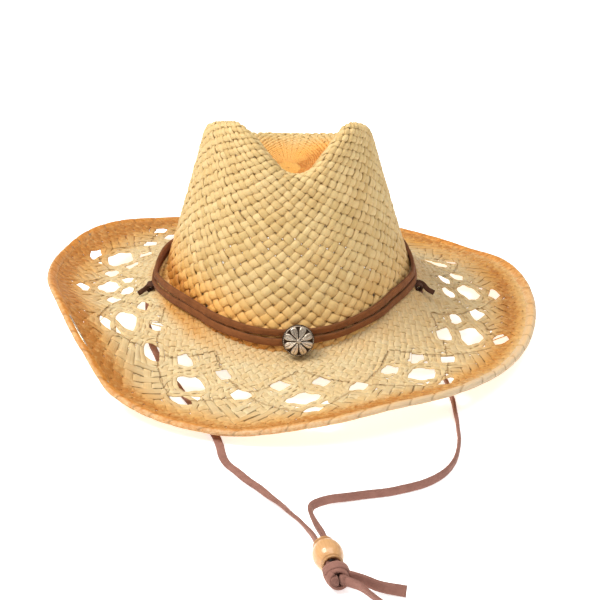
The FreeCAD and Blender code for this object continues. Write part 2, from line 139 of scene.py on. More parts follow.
def brim_point(angle, f):
    """Top of the brim, from the break at the crown, f = 0, to the edge, f = 1."""
    a = np.radians(angle)
    tuck = 1.0 - LEFT_TUCK * bump(angle, -82.0, 42.0)
    w = BASE_HALF_WIDTH + (BRIM_HALF_WIDTH * tuck - BASE_HALF_WIDTH) * f
    l = BASE_HALF_LENGTH + (BRIM_HALF_LENGTH * tuck - BASE_HALF_LENGTH) * f
    sag = BRIM_SAG + BRIM_SIDE_SAG * np.sin(a) ** 2
    z = base_height(angle) * (1 - f) + wave(EDGE_WAVE, angle) * f - 4 * sag * f * (1 - f)
    return np.stack([w * np.sin(a), -l * np.cos(a), z], -1)


def crown_point(angle, w):
    """Outside of the crown's wall, from the break, w = 0, to the ridge, w = 1."""
    a = np.radians(angle)
    x = (BASE_HALF_WIDTH + (RIDGE_HALF_WIDTH - BASE_HALF_WIDTH) * w) * np.sin(a)
    y = -(BASE_HALF_LENGTH + (RIDGE_HALF_LENGTH - BASE_HALF_LENGTH) * w) * np.cos(a)
    z = base_height(angle) * (1 - w) + wave(RIDGE_WAVE, angle) * w
    return np.stack([x, y, z], -1)


class Sheet:
    """A woven sheet as a grid of points round the hat and across it, with its normals."""

    def __init__(self, angles, points, pitch_share=1.0, follow=None):
        self.angles = angles
        self.points = points
        across = np.gradient(points, axis=1)
        around = np.empty_like(points)
        around[1:-1] = points[2:] - points[:-2]
        around[0] = around[-1] = points[1] - points[-2]
        normal = np.cross(around, across)
        size = np.linalg.norm(normal, axis=-1, keepdims=True)
        self.normals = normal / np.maximum(size, 1e-9)
        step = np.linalg.norm(np.diff(points, axis=1), axis=-1)
        radius = np.linalg.norm(points[..., :2], axis=-1).mean(0)
        count = points.shape[1]
        self.share = np.linspace(0, 1, count)
        mean_run = np.concatenate([[0], np.cumsum(step.mean(0))])
        own_run = np.concatenate([np.zeros((len(angles), 1)), np.cumsum(step, axis=1)], 1)
        blend = smooth(self.share, *follow) if follow else np.ones(count)
        run = own_run * (1 - blend) + mean_run * blend
        run = np.maximum.accumulate(run, axis=1)
        turn_of_run = np.concatenate([[0], np.cumsum(step.mean(0) / (0.5 * (radius[1:] + radius[:-1])))])
        self.turn = turn_of_run / pitch_share
        self.length = mean_run
        turns = np.interp(run, mean_run, self.turn)
        self.fine = np.linspace(0, self.turn[-1], 600)
        self.table = np.stack([np.interp(self.fine, row, self.share) for row in turns])

    def share_at(self, theta, turn):
        return self.look(self.table, theta, turn / self.fine[-1])

    def look(self, table, theta, share):
        """Bilinear reading of a table on the grid. theta is in degrees."""
        count = table.shape[0] - 1
        u = (theta / 360 % 1) * count
        i = np.minimum(u.astype(int), count - 1)
        s = u - i
        v = np.clip(share, 0, 1) * (table.shape[1] - 1)
        j = np.minimum(v.astype(int), table.shape[1] - 2)
        t = v - j
        if table.ndim == 3:
            s = s[..., None]
            t = t[..., None]
        return ((table[i, j] * (1 - s) + table[i + 1, j] * s) * (1 - t)
                + (table[i, j + 1] * (1 - s) + table[i + 1, j + 1] * s) * t)


def even_angles(count, width, length):
    """Angles that divide an oval into equal lengths, starting and ending at the front."""
    fine = np.linspace(0, 360, 1441)
    a = np.radians(fine)
    xy = np.stack([width * np.sin(a), -length * np.cos(a)], -1)
    run = np.concatenate([[0], np.cumsum(np.linalg.norm(np.diff(xy, axis=0), axis=-1))])
    return np.interp(np.linspace(0, run[-1], count + 1), run, fine)


def crown_sheet():
    """Wall, rounded ridge and crease as one path at each angle."""
    angles = even_angles(720, 68.0, 86.0)
    wall = [crown_point(angles, w) for w in np.linspace(0, 1, 61)]
    ridge = wave(RIDGE_WAVE, angles)
    a = np.radians(angles)
    shares = np.linspace(1.0, 0.06, 61)
    table = np.array(DENT_PROFILE)[::-1]
    heights = np.interp(shares, table[:, 0], table[:, 1])
    dent = []
    for share, height in zip(shares, heights):
        z = DENT_FLOOR_HEIGHT * (1 - height) + ridge * height
        dent.append(np.stack([49.5 * share * np.sin(a), -68.0 * share * np.cos(a), z], -1))
    path = np.stack(wall + dent, 1)
    count = 260
    grid = np.empty((len(angles), count, 3))
    for row in range(len(angles)):
        step = np.linalg.norm(np.diff(path[row], axis=0), axis=-1)
        run = np.concatenate([[0], np.cumsum(step)])
        even = np.linspace(0, run[-1], count)
        for axis in range(3):
            grid[row, :, axis] = np.interp(even, run, path[row, :, axis])
    kernel = np.exp(-0.5 * (np.arange(-15, 16) / 5.5) ** 2)
    kernel /= kernel.sum()
    before = grid[:, :1] * 2 - grid[:, 15:0:-1]
    after = grid[:, -1:] * 2 - grid[:, -2:-17:-1]
    ends = np.concatenate([before, grid, after], 1)
    soft = np.zeros_like(grid)
    for k, weight in enumerate(kernel):
        soft += weight * ends[:, k:k + count]
    return Sheet(angles, soft, 0.90, (0.60, 0.90))


def brim_sheet():
    angles = np.linspace(0, 360, 721)
    points = np.stack([brim_point(angles, f) for f in np.linspace(-0.02, 1.0, 200)], 1)
    return Sheet(angles, points)


# ---------------------------------------------------------------- meshes
def add_mesh(name, verts, faces, layers=None, material=None, body="root"):
    """A smooth-shaded piece from points in millimetres, with its point attributes."""
    mesh = bpy.data.meshes.new(name)
    mesh.from_pydata((np.asarray(verts, float) * MM).tolist(), [], [tuple(f) for f in faces])
    for key, values in (layers or {}).items():
        values = np.asarray(values, np.float32)
        kind = "FLOAT_VECTOR" if values.ndim == 2 else "FLOAT"
        layer = mesh.attributes.new(key, kind, "POINT")
        layer.data.foreach_set("vector" if values.ndim == 2 else "value", values.ravel())
    mesh.polygons.foreach_set("use_smooth", np.ones(len(mesh.polygons), bool))
    mesh.update()
    piece = bpy.data.objects.new(name, mesh)
    bpy.context.scene.collection.objects.link(piece)
    if material:
        mesh.materials.append(material)
    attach(piece, body)
    return piece


def ring_faces(rows, columns, closed_rows=False, caps=False, start=0):
    """Quads of a tube of rows, each row a closed ring of columns."""
    faces = []
    last = rows if closed_rows else rows - 1
    for i in range(last):
        j = (i + 1) % rows
        for k in range(columns):
            n = (k + 1) % columns
            faces.append((start + i * columns + k, start + i * columns + n,
                          start + j * columns + n, start + j * columns + k))
    if caps:
        faces.append(tuple(start + k for k in range(columns))[::-1])
        faces.append(tuple(start + (rows - 1) * columns + k for k in range(columns)))
    return faces


RIB_TOP = (-1.0, -0.72, -0.3, 0.3, 0.72, 1.0)
RIB_UNDER = (0.7, -0.7)


def weave(sheet, family, strands, count, steps, settings):
    """Flat strands of one family, woven over and under the other family.

    Both families run diagonally. A strand of family +1 keeps its label p and runs along q,
    and one of family -1 keeps q and runs along p. Whole labels are the strands' centrelines.
    """
    pitch = 360.0 / count
    k = np.asarray(strands, float)
    top = settings["top"]
    start = settings.get("start", 0.0)
    t = np.arange(int((top - start) * steps) + 1) / steps + start
    across = np.array(RIB_TOP + RIB_UNDER)
    label = k[:, None, None] + 0 * t[None, :, None] + 0 * across[None, None, :]
    run = label - family * t[None, :, None]
    lane = np.floor(run)
    part = run - lane
    over = settings["over"]
    first = family * over(label, lane) if family > 0 else family * over(lane, label)
    second = family * over(label, lane + 1) if family > 0 else family * over(lane + 1, label)
    blend = smooth(part, 0.12, 0.88)
    height = first + (second - first) * blend
    phase = RNG.uniform(0, 6.28, (len(k), 3, 1, 1))
    sway = (np.sin(run * 0.83 + phase[:, 0]) + np.sin(run * 1.71 + phase[:, 1])) * settings["sway"]
    uneven = 1 + settings["uneven"] * np.sin(run * 2.3 + phase[:, 2])
    width = settings["width"] * (1 + 0.05 * height) * uneven
    width = width * settings.get("family_width", 1.0) * (1 - settings["pinch"] * (1 - height ** 2))
    offset = across[None, None, :] * width * 0.5
    centre = label + sway
    if "warp" in settings:
        centre, squeeze = settings["warp"](family, centre, run)
        offset = offset * squeeze
    along = run
    if family > 0:
        p = centre + offset
        q = along
    else:
        p = along
        q = centre + offset
    theta = (p + q) * 0.5 * pitch
    turn = np.radians((p - q) * 0.5 * pitch)
    share = sheet.share_at(theta, turn)
    point = sheet.look(sheet.points, theta, share)
    normal = sheet.look(sheet.normals, theta, share)
    is_top = np.arange(len(across)) < len(RIB_TOP)
    edge = np.abs(across)
    crease = settings["crease"](family, label, run, across) if "crease" in settings else 0 * run
    relief = settings.get("relief", lambda th, sh: 1.0 + 0 * th)(theta, share)
    curl = settings["bulge"] * (1 - edge ** 2.4)
    tilt = RNG.normal(0, settings["tilt"], (len(k), 1, 1)) * across[None, None, :]
    level = RNG.normal(0, settings["tilt"] * 0.6, (len(k), 1, 1))
    top_z = relief * (settings["lift"] * height + curl + tilt + level) - 0.45 * crease * edge
    under_z = relief * (settings["lift"] * height + tilt + level) - settings["thick"]
    z = np.where(is_top[None, None, :], top_z, under_z) + settings["raise"]
    point = point + normal * z[..., None]
    rows = len(t)
    columns = len(across)
    verts = point.reshape(-1, 3)
    one = np.array(ring_faces(rows, columns))
    faces = (one[None] + (np.arange(len(k)) * rows * columns)[:, None, None]).reshape(-1, 4)
    cap = []
    for n in range(len(k)):
        s = n * rows * columns
        cap.append(tuple(s + c for c in range(columns))[::-1])
        cap.append(tuple(s + (rows - 1) * columns + c for c in range(columns)))
    cell = np.sin(label * 12.9898 + np.round(run) * 78.233) * 43758.5453
    cell = cell - np.floor(cell)
    tint = RNG.normal(0, 0.42, (len(k), 1, 1)) + (cell - 0.5) * 1.1
    length = sheet.length[-1] / max(top - start, 1)
    side = across[None, None, :] * 0.5 + 0 * run
    grain = np.stack([run * length, side * length + label * 7.3, label * 3.1 + 0 * run], -1)
    gap = np.where(edge[None, None, :] > 0.95, 1.0, np.where(is_top[None, None, :], 0.0, 0.85)) + 0 * run
    low = smooth(-height, 0.1, 1.0)
    seams = settings["seams"](theta, share, cell) if "seams" in settings else np.full(point.shape, 9.0)
    layers = {
        "seams": seams.reshape(-1, 3),
        "tint": (tint + 0 * run).ravel(),
        "shade": np.clip(gap * settings["edge_shade"] + low * 0.22, 0, 1).ravel(),
        "grain": grain.reshape(-1, 3),
        "stain": settings["stain"](theta, share, point).ravel(),
        "glow": settings["glow"](theta, share, point).ravel(),
    }
    return verts, list(map(tuple, faces.tolist())) + cap, layers


# ---------------------------------------------------------------- materials
def node_material(name):
    material = bpy.data.materials.new(name)
    material.use_nodes = True
    tree = material.node_tree
    tree.nodes.clear()
    out = tree.nodes.new("ShaderNodeOutputMaterial")
    shader = tree.nodes.new("ShaderNodeBsdfPrincipled")
    tree.links.new(shader.outputs[0], out.inputs[0])
    return material, tree, shader


def add_node(tree, kind, **settings):
    node = tree.nodes.new(kind)
    for key, value in settings.items():
        setattr(node, key, value)
    return node


def value_of(tree, name, kind="Fac"):
    return add_node(tree, "ShaderNodeAttribute", attribute_name=name).outputs[kind]


def math_node(tree, operation, first, second=None, clamp=False):
    node = add_node(tree, "ShaderNodeMath", operation=operation, use_clamp=clamp)
    for socket, value in zip(node.inputs, (first, second)):
        if value is None:
            continue
        if isinstance(value, (int, float)):
            socket.default_value = value
        else:
            tree.links.new(value, socket)
    return node.outputs[0]


def noise_node(tree, scale, detail=4.0, rough=0.55, vector=None, stretch=None):
    node = add_node(tree, "ShaderNodeTexNoise")
    node.inputs["Scale"].default_value = scale
    node.inputs["Detail"].default_value = detail
    node.inputs["Roughness"].default_value = rough
    if vector is None:
        vector = add_node(tree, "ShaderNodeTexCoord").outputs["Object"]
    if stretch is not None:
        mapping = add_node(tree, "ShaderNodeMapping")
        mapping.inputs["Scale"].default_value = stretch
        tree.links.new(vector, mapping.inputs["Vector"])
        vector = mapping.outputs[0]
    tree.links.new(vector, node.inputs["Vector"])
    return node.outputs["Fac"]


def ramp(tree, value, low, high, to_low=0.0, to_high=1.0):
    node = add_node(tree, "ShaderNodeMapRange", clamp=True)
    node.inputs["From Min"].default_value = low
    node.inputs["From Max"].default_value = high
    node.inputs["To Min"].default_value = to_low
    node.inputs["To Max"].default_value = to_high
    tree.links.new(value, node.inputs["Value"])
    return node.outputs[0]


def mix_colour(tree, share, first, second, mode="MIX"):
    node = add_node(tree, "ShaderNodeMix", data_type="RGBA", blend_type=mode)
    for socket, value in ((node.inputs[0], share), (node.inputs[6], first), (node.inputs[7], second)):
        if isinstance(value, (int, float)):
            socket.default_value = value
        elif isinstance(value, tuple):
            socket.default_value = value + (1.0,)
        else:
            tree.links.new(value, socket)
    return node.outputs[2]


def bump_node(tree, height, strength, distance, normal=None):
    node = add_node(tree, "ShaderNodeBump")
    node.inputs["Strength"].default_value = strength
    node.inputs["Distance"].default_value = distance
    tree.links.new(height, node.inputs["Height"])
    if normal is not None:
        tree.links.new(normal, node.inputs["Normal"])
    return node.outputs[0]


def straw_material(name, pale=(0.72, 0.50, 0.235), fair=(0.86, 0.66, 0.37), mottle=1.0):
    """Paper straw: fine fibres along each strand, uneven colour, a mottled sprayed stain, painted shade at
    the strands' edges and a painted shadow along the brim's seams.
    """
    material, tree, shader = node_material(name)
    grain = value_of(tree, "grain", "Vector")
    fibres = noise_node(tree, 1.0, 5.0, 0.6, grain, (0.10, 1.9, 1.0))
    creases = noise_node(tree, 1.0, 3.0, 0.55, grain, (0.32, 0.55, 1.0))
    mottles = noise_node(tree, 330.0, 5.0, 0.72)
    clouds = noise_node(tree, 42.0, 3.0, 0.5)
    tint = ramp(tree, value_of(tree, "tint"), -1.1, 1.1)
    colour = mix_colour(tree, tint, pale, fair)
    colour = mix_colour(tree, ramp(tree, fibres, 0.30, 0.70, 0.0, 0.30), colour, (0.52, 0.32, 0.12))
    colour = mix_colour(tree, ramp(tree, clouds, 0.3, 0.7, 0.0, 0.25), colour, (0.80, 0.53, 0.24))
    glow = math_node(tree, "MULTIPLY", value_of(tree, "glow"), ramp(tree, clouds, 0.25, 0.75, 0.70, 1.10))
    colour = mix_colour(tree, math_node(tree, "MULTIPLY", glow, 0.90, True), colour, (0.82, 0.39, 0.068))
    stain = value_of(tree, "stain")
    broken = math_node(tree, "ADD", stain, ramp(tree, mottles, 0.30, 0.70, -0.55 * mottle, 0.42 * mottle))
    broken = math_node(tree, "MULTIPLY", broken, ramp(tree, stain, 0.0, 0.25), True)
    colour = mix_colour(tree, ramp(tree, broken, 0.20, 0.95, 0.0, 0.92), colour, (0.53, 0.185, 0.024))
    shade = math_node(tree, "MULTIPLY", value_of(tree, "shade"), 0.62, True)
    colour = mix_colour(tree, shade, colour, (0.20, 0.085, 0.020))
    parts = add_node(tree, "ShaderNodeSeparateXYZ")
    tree.links.new(value_of(tree, "seams", "Vector"), parts.inputs[0])
    near = math_node(tree, "MINIMUM", math_node(tree, "ABSOLUTE", parts.outputs[0]),
                     math_node(tree, "ABSOLUTE", parts.outputs[1]))
    rough_edge = ramp(tree, noise_node(tree, 420.0, 3.0, 0.6), 0.3, 0.7, -0.25, 0.45)
    # painted shadow: a dark line along each diamond seam of the brim, where one layer of strands overlaps the
    # next; the same mask also makes a groove bump there
    seam_groove_and_painted_shadow = ramp(tree, math_node(tree, "ADD", near, rough_edge), 0.15, 0.95, 1.0, 0.0)
    colour = mix_colour(tree, math_node(tree, "MULTIPLY", seam_groove_and_painted_shadow, 0.50, True), colour, (0.34, 0.155, 0.040))
    tree.links.new(colour, shader.inputs["Base Color"])
    tree.links.new(ramp(tree, fibres, 0.2, 0.8, 0.46, 0.68), shader.inputs["Roughness"])
    shader.inputs["Specular IOR Level"].default_value = 0.32
    shader.inputs["Subsurface Weight"].default_value = 0.05
    shader.inputs["Subsurface Radius"].default_value = (0.004, 0.002, 0.001)
    shader.inputs["Subsurface Scale"].default_value = 0.4
    normal = bump_node(tree, fibres, 0.45, 0.0006)
    normal = bump_node(tree, creases, 0.55, 0.0011, normal)
    normal = bump_node(tree, mottles, 0.16, 0.0006, normal)
    normal = bump_node(tree, math_node(tree, "SUBTRACT", 1.0, seam_groove_and_painted_shadow), 0.8, 0.0010, normal)
    tree.links.new(normal, shader.inputs["Normal"])
    return material


def suede_material(name, dark, light, hide=0.5):
    """Suede lace: a fuzzy nap with lighter scuffed patches and darker cut edges."""
    material, tree, shader = node_material(name)
    nap = noise_node(tree, 2600.0, 4.0, 0.7)
    patches = noise_node(tree, 170.0, 4.0, 0.6)
    colour = mix_colour(tree, ramp(tree, patches, 0.28, 0.72), dark, light)
    colour = mix_colour(tree, ramp(tree, nap, 0.35, 0.75, 0.0, 0.30), colour, tuple(c * 0.55 for c in dark))
    edge = math_node(tree, "MULTIPLY", value_of(tree, "shade"), hide, True)
    colour = mix_colour(tree, edge, colour, tuple(c * 0.35 for c in dark))
    tree.links.new(colour, shader.inputs["Base Color"])
    shader.inputs["Roughness"].default_value = 0.86
    shader.inputs["Specular IOR Level"].default_value = 0.25
    shader.inputs["Sheen Weight"].default_value = 0.20
    shader.inputs["Sheen Roughness"].default_value = 0.45
    shader.inputs["Sheen Tint"].default_value = (0.90, 0.62, 0.50, 1.0)
    normal = bump_node(tree, nap, 0.45, 0.0005)
    normal = bump_node(tree, patches, 0.35, 0.0015, normal)
    tree.links.new(normal, shader.inputs["Normal"])
    return material


def silver_material(name):
    """Antique cast metal: bright worn heights, dark brown hollows."""
    material, tree, shader = node_material(name)
    wear = noise_node(tree, 900.0, 5.0, 0.65)
    patches = noise_node(tree, 260.0, 3.0, 0.5)
    hollow = math_node(tree, "ADD", value_of(tree, "shade"), ramp(tree, wear, 0.3, 0.7, -0.18, 0.18), True)
    bright = mix_colour(tree, ramp(tree, patches, 0.3, 0.7), (0.72, 0.62, 0.50), (0.50, 0.40, 0.30))
    colour = mix_colour(tree, ramp(tree, hollow, 0.15, 0.75), bright, (0.045, 0.026, 0.016))
    tree.links.new(colour, shader.inputs["Base Color"])
    shader.inputs["Metallic"].default_value = 0.92
    tree.links.new(ramp(tree, hollow, 0.0, 0.8, 0.26, 0.62), shader.inputs["Roughness"])
    tree.links.new(bump_node(tree, wear, 0.20, 0.0003), shader.inputs["Normal"])
    return material


def wood_material(name):
    """Turned pale wood under a clear varnish, with grain along the bead."""
    material, tree, shader = node_material(name)
    grain = value_of(tree, "grain", "Vector")
    rings = noise_node(tree, 1.0, 4.0, 0.6, grain, (0.06, 0.8, 0.8))
    pores = noise_node(tree, 1.0, 3.0, 0.6, grain, (0.35, 5.0, 5.0))
    colour = mix_colour(tree, ramp(tree, rings, 0.3, 0.7), (0.58, 0.295, 0.110), (0.70, 0.395, 0.170))
    colour = mix_colour(tree, ramp(tree, pores, 0.55, 0.8, 0.0, 0.4), colour, (0.50, 0.24, 0.07))
    bore = math_node(tree, "MULTIPLY", value_of(tree, "shade"), 0.8, True)
    colour = mix_colour(tree, bore, colour, (0.30, 0.13, 0.04))
    tree.links.new(colour, shader.inputs["Base Color"])
    shader.inputs["Roughness"].default_value = 0.34
    shader.inputs["Coat Weight"].default_value = 0.45
    shader.inputs["Coat Roughness"].default_value = 0.16
    tree.links.new(bump_node(tree, pores, 0.12, 0.0004), shader.inputs["Normal"])
    return material


def cloth_material(name, colour_a, colour_b, scale):
    """Plain-woven cotton: two crossed thread waves under a little fluff."""
    material, tree, shader = node_material(name)
    grain = value_of(tree, "grain", "Vector")
    warp = add_node(tree, "ShaderNodeTexWave", wave_type="BANDS", bands_direction="X")
    weft = add_node(tree, "ShaderNodeTexWave", wave_type="BANDS", bands_direction="Y")
    for wave_node in (warp, weft):
        wave_node.inputs["Scale"].default_value = scale
        wave_node.inputs["Distortion"].default_value = 1.2
        wave_node.inputs["Detail"].default_value = 1.0
        tree.links.new(grain, wave_node.inputs["Vector"])
    threads = math_node(tree, "MAXIMUM", warp.outputs["Fac"], weft.outputs["Fac"])
    fluff = noise_node(tree, 800.0, 4.0, 0.65)
    colour = mix_colour(tree, threads, colour_a, colour_b)
    hollow = tuple(c * 0.6 for c in colour_a)
    colour = mix_colour(tree, ramp(tree, fluff, 0.35, 0.75, 0.0, 0.35), colour, hollow)
    tree.links.new(colour, shader.inputs["Base Color"])
    shader.inputs["Roughness"].default_value = 0.9
    shader.inputs["Sheen Weight"].default_value = 0.2
    normal = bump_node(tree, threads, 0.5, 0.0005)
    tree.links.new(bump_node(tree, fluff, 0.3, 0.0004, normal), shader.inputs["Normal"])
    return material


STRAW = straw_material("paper_straw", (0.58, 0.405, 0.157), (0.75, 0.575, 0.278))
# the brim's straw is much paler than the crown's: partly its own paler tone, partly painted light for the
# strong top light on the up-facing brim
BRIM_STRAW_WITH_PAINTED_LIGHT = straw_material("brim_straw", (0.98, 0.79, 0.425), (1.0, 0.90, 0.57), 1.25)
HEM_STRAW = straw_material("hem_straw", (0.55, 0.42, 0.27), (0.66, 0.54, 0.38), 1.0)
BAND_SUEDE = suede_material("band_suede", (0.175, 0.058, 0.014), (0.290, 0.100, 0.028))
CORD_SUEDE = suede_material("cord_suede", (0.262, 0.118, 0.088), (0.362, 0.174, 0.134), 0.3)
DARK_SUEDE = suede_material("cut_end_suede", (0.055, 0.022, 0.012), (0.110, 0.042, 0.020))
SILVER = silver_material("antique_silver")
WOOD = wood_material("bead_wood")
COTTON = cloth_material("sweatband_cotton", (0.52, 0.40, 0.26), (0.70, 0.58, 0.42), 0.55)
THREAD = cloth_material("seam_thread", (0.60, 0.50, 0.36), (0.78, 0.68, 0.52), 1.6)

# ---------------------------------------------------------------- crown
CROWN = crown_sheet()
BRIM = brim_sheet()


def plain(p, q):
    """Which family is on top where strands p and q cross."""
    return np.where((p + q) % 2 < 0.5, 1.0, -1.0)


def signed(angle):
    return (angle + 180) % 360 - 180


def crown_stain(theta, share, point):
    """Sprayed colour low on the wall, strongest at the left front."""
    angle = CROWN_ANGLE(theta)
    rise = point[..., 2] - base_height(angle)
    side = 0.35 + 0.95 * bump(angle, -52, 80) + 0.25 * bump(angle, 180, 120)
    low = 1 - smooth(rise, 5.0, 24.0)
    ridge = wave(RIDGE_WAVE, angle)
    below = smooth(ridge - point[..., 2], 1.0, 9.0)
    # The crease's stain is real, but here it grows from nothing 26 mm left of the middle to full 6 mm right
    # of it: painted shade on the crease's right wall, with its pale left slope as a painted highlight.
    dent = smooth(share, 0.62, 0.70) * below * smooth(point[..., 0], -26.0, 6.0)
    return np.clip(low * side * 0.95 * (share < 0.5) + 0.85 * dent, 0, 1)


def crown_glow(theta, share, point):
    """Warm tone at the base and all over the crease."""
    angle = CROWN_ANGLE(theta)
    rise = point[..., 2] - base_height(angle)
    side = 0.30 + 0.70 * bump(angle, -48, 95)
    low = (1 - smooth(rise, 8.0, 42.0)) * side * (share < 0.5)
    ridge = wave(RIDGE_WAVE, angle)
    back = bump(angle, 180, 100)
    depth = (ridge - point[..., 2] - 2.0 + 3.0 * back) / (6.0 - 3.0 * back)
    # the crease's orange tone is real, but it deepens from the left slope to the right: painted shade on the
    # crease's right wall
    painted_shade_rightwards = 0.55 + 0.45 * smooth(point[..., 0], -35.0, 5.0)
    dent = smooth(share, 0.60, 0.68) * smooth(depth, 0.0, 1.0) * painted_shade_rightwards
    return np.clip(low + 0.95 * dent, 0, 1)


def CROWN_ANGLE(theta):
    """The real angle of a place that is given by its share of the way round."""
    return signed(np.interp(theta / 360 % 1, np.linspace(0, 1, 721), CROWN.angles))


CROWN_PITCH = math.radians(360 / CROWN_STRANDS)
CROWN_TOP = 2 * (CROWN.turn[-1] - 0.02) / CROWN_PITCH
crown_settings = {
    "top": CROWN_TOP, "over": plain, "sway": 0.050, "width": 1.0, "uneven": 0.060,
    "pinch": 0.03, "bulge": 1.05, "lift": 0.72, "tilt": 0.20, "thick": 0.62, "raise": -1.0,
    "edge_shade": 0.72,
    "stain": crown_stain, "glow": crown_glow,
    "relief": lambda theta, share: 1.0 - 0.45 * smooth(share, 0.66, 0.9),
}
half = CROWN_STRANDS // 2
for family, letter, wide in ((1, "a", 1.0), (-1, "b", 0.90)):
    for part_number in (0, 1):
        numbers = range(part_number * half, part_number * half + half)
        verts, faces, layers = weave(CROWN, family, numbers, CROWN_STRANDS, 6,
                                     dict(crown_settings, family_width=wide))
        piece = add_mesh(f"crown_weave_{letter}{part_number + 1}", verts, faces, layers, STRAW)
        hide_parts("crown")


def crown_button():
    """Close coil of straw at the bottom of the crease, where the strands start."""
    rings = 15
    columns = 96
    verts = []
    grain = []
    floor = CROWN.points[:, -1, 2].mean()
    for ring in range(rings + 1):
        s = 0.17 * ring / rings
        lift = 0.28 * math.cos(ring * math.pi) - 0.2 * (ring == rings)
        for column in range(columns):
            a = 2 * math.pi * column / columns
            wobble = 0.12 * math.sin(a * 24 + ring * 2.1)
            verts.append((49.5 * s * math.sin(a), -68 * s * math.cos(a), floor + 0.3 + lift + wobble))
            grain.append((a * 12 * s * 6, ring * 1.7, 0.3))
    for ring in range(rings + 1):
        s = 0.17 * ring / rings
        for column in range(columns):
            a = 2 * math.pi * column / columns
            verts.append((49.5 * s * math.sin(a), -68 * s * math.cos(a), floor - 1.3))
            grain.append((a * 12 * s * 6, ring * 1.7, 0.8))
    faces = []
    layer = (rings + 1) * columns
    for ring in range(rings):
        for column in range(columns):
            n = (column + 1) % columns
            a, b = ring * columns, (ring + 1) * columns
            faces.append((a + column, b + column, b + n, a + n))
            faces.append((layer + a + n, layer + b + n, layer + b + column, layer + a + column))
    for column in range(columns):
        n = (column + 1) % columns
        a = rings * columns
        faces.append((a + column, layer + a + column, layer + a + n, a + n))
    count = len(verts)
    layers = {"tint": np.zeros(count), "shade": np.zeros(count) + 0.1, "grain": np.array(grain),
              "stain": np.zeros(count) + 0.2, "glow": np.ones(count), "seams": np.full((count, 3), 9.0)}
    piece = add_mesh("crown_button", verts, faces, layers, STRAW)
    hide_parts("crown")


crown_button()

# ---------------------------------------------------------------- brim
BRIM_PITCH = 360.0 / BRIM_STRANDS
# holes of one motif: share of the spacing round, share outwards, half opening and half length in pitches
MOTIF_HOLES = (
    (0.0, 0.0, 1.50, 3.2), (-0.20, -0.18, 0.80, 2.4), (0.20, -0.18, 0.80, 2.4),
    (0.05, 0.200, 0.66, 2.2), (0.47, -0.02, 0.82, 2.3),
)


def brim_share_to_turn(f):
    return float(np.interp((f + 0.02) / 1.02, BRIM.share, BRIM.turn))


def motif_openings():
    """Labels and sizes of every opening in the brim, and how far each leans round the brim."""
    openings = []
    for number, (place, ring) in enumerate(MOTIFS):
        following = MOTIFS[(number + 1) % len(MOTIFS)][0]
        spacing = (following - place) % 360.0
        for shift, out, tall, long in MOTIF_HOLES:
            angle = place + spacing * shift + RNG.normal(0, 0.5)
            f = ring + out + RNG.normal(0, 0.008)
            turn = math.degrees(brim_share_to_turn(f))
            tall_here = tall * (1 + RNG.normal(0, 0.10))
            leans = (0.30 + RNG.normal(0, 0.08), 0.30 + RNG.normal(0, 0.08))
            p = (angle + turn) / BRIM_PITCH
            q = (angle - turn) / BRIM_PITCH
            openings.append((p, q, tall_here, long, leans))
    return openings


OPENINGS = motif_openings()


def part_strands(family, centre, run):
    """Pushes strands apart round each opening, and packs them where they are pushed to."""
    shifted = centre.copy()
    squeeze = np.ones_like(centre)
    for p, q, tall, long, leans in OPENINGS:
        mine, other = (p, q) if family > 0 else (q, p)
        lean = leans[0] if family > 0 else leans[1]
        for wrap in (-1, 0, 1):
            across = centre - mine - wrap * BRIM_STRANDS
            along = run - other - wrap * BRIM_STRANDS
            fade = np.clip(1 - (along / long) ** 2, 0, 1)
            gap = tall * fade
            middle = lean * along * fade
            apart = across - middle
            reach = tall + 1.7
            near = (np.abs(apart) < reach) & (gap > 0)
            if not near.any():
                continue
            side = np.where(across >= 0, 1.0, -1.0)
            room = (reach - gap) / reach
            moved = middle + side * (gap + np.maximum(np.abs(apart), 0.5) * room)
            ease = smooth(gap, 0.0, 0.25)
            moved = across + (moved - across) * ease
            shifted = np.where(near, shifted + (moved - across), shifted)
            squeeze = np.where(near, np.minimum(squeeze, np.maximum(room, 0.62)), squeeze)
    return shifted, squeeze


def motif_phase(angle):
    """How far from one motif to the next, 0 to 1, and how far out the motifs lie there."""
    starts = [place - MOTIFS[0][0] for place, _ in MOTIFS] + [360.0]
    rings = [ring for _, ring in MOTIFS] + [MOTIFS[0][1]]
    turned = (angle - MOTIFS[0][0]) % 360.0
    number = np.interp(turned, starts, np.arange(len(starts)))
    return number - np.floor(number), np.interp(turned, starts, rings) - 0.5


def seam_side(p, q):
    """Number of the field that a crossing is in: the fields are bounded by the diamond seams."""
    angle = (p + q) * 0.5 * BRIM_PITCH
    turn = np.radians((p - q) * 0.5 * BRIM_PITCH)
    f = BRIM.share_at(angle, turn) * 1.02 - 0.02
    phase, shift = motif_phase(angle)
    rising = f - shift > 0.15 + 0.6 * phase
    falling = f - shift > 0.15 + 0.6 * (1.0 - phase)
    outer = f > 0.80
    return rising * 1.0 + falling * 2.0 + outer * 4.0


def brim_seams(theta, share, cell):
    """Signed distances in millimetres to the two runs of diamond seams, jumping a little at each cell."""
    f = share * 1.02 - 0.02
    phase, shift = motif_phase(theta)
    slope = 0.80 * BRIM.length[-1]
    jump = (cell - 0.5) * 1.3
    rising = (f - shift - 0.15 - 0.6 * phase) * slope + jump
    falling = (f - shift - 0.15 - 0.6 * (1.0 - phase)) * slope + jump
    beyond = np.where(f > 0.77, 9.0, 0.0)
    return np.stack([rising + beyond, falling + beyond, 0 * f], -1)


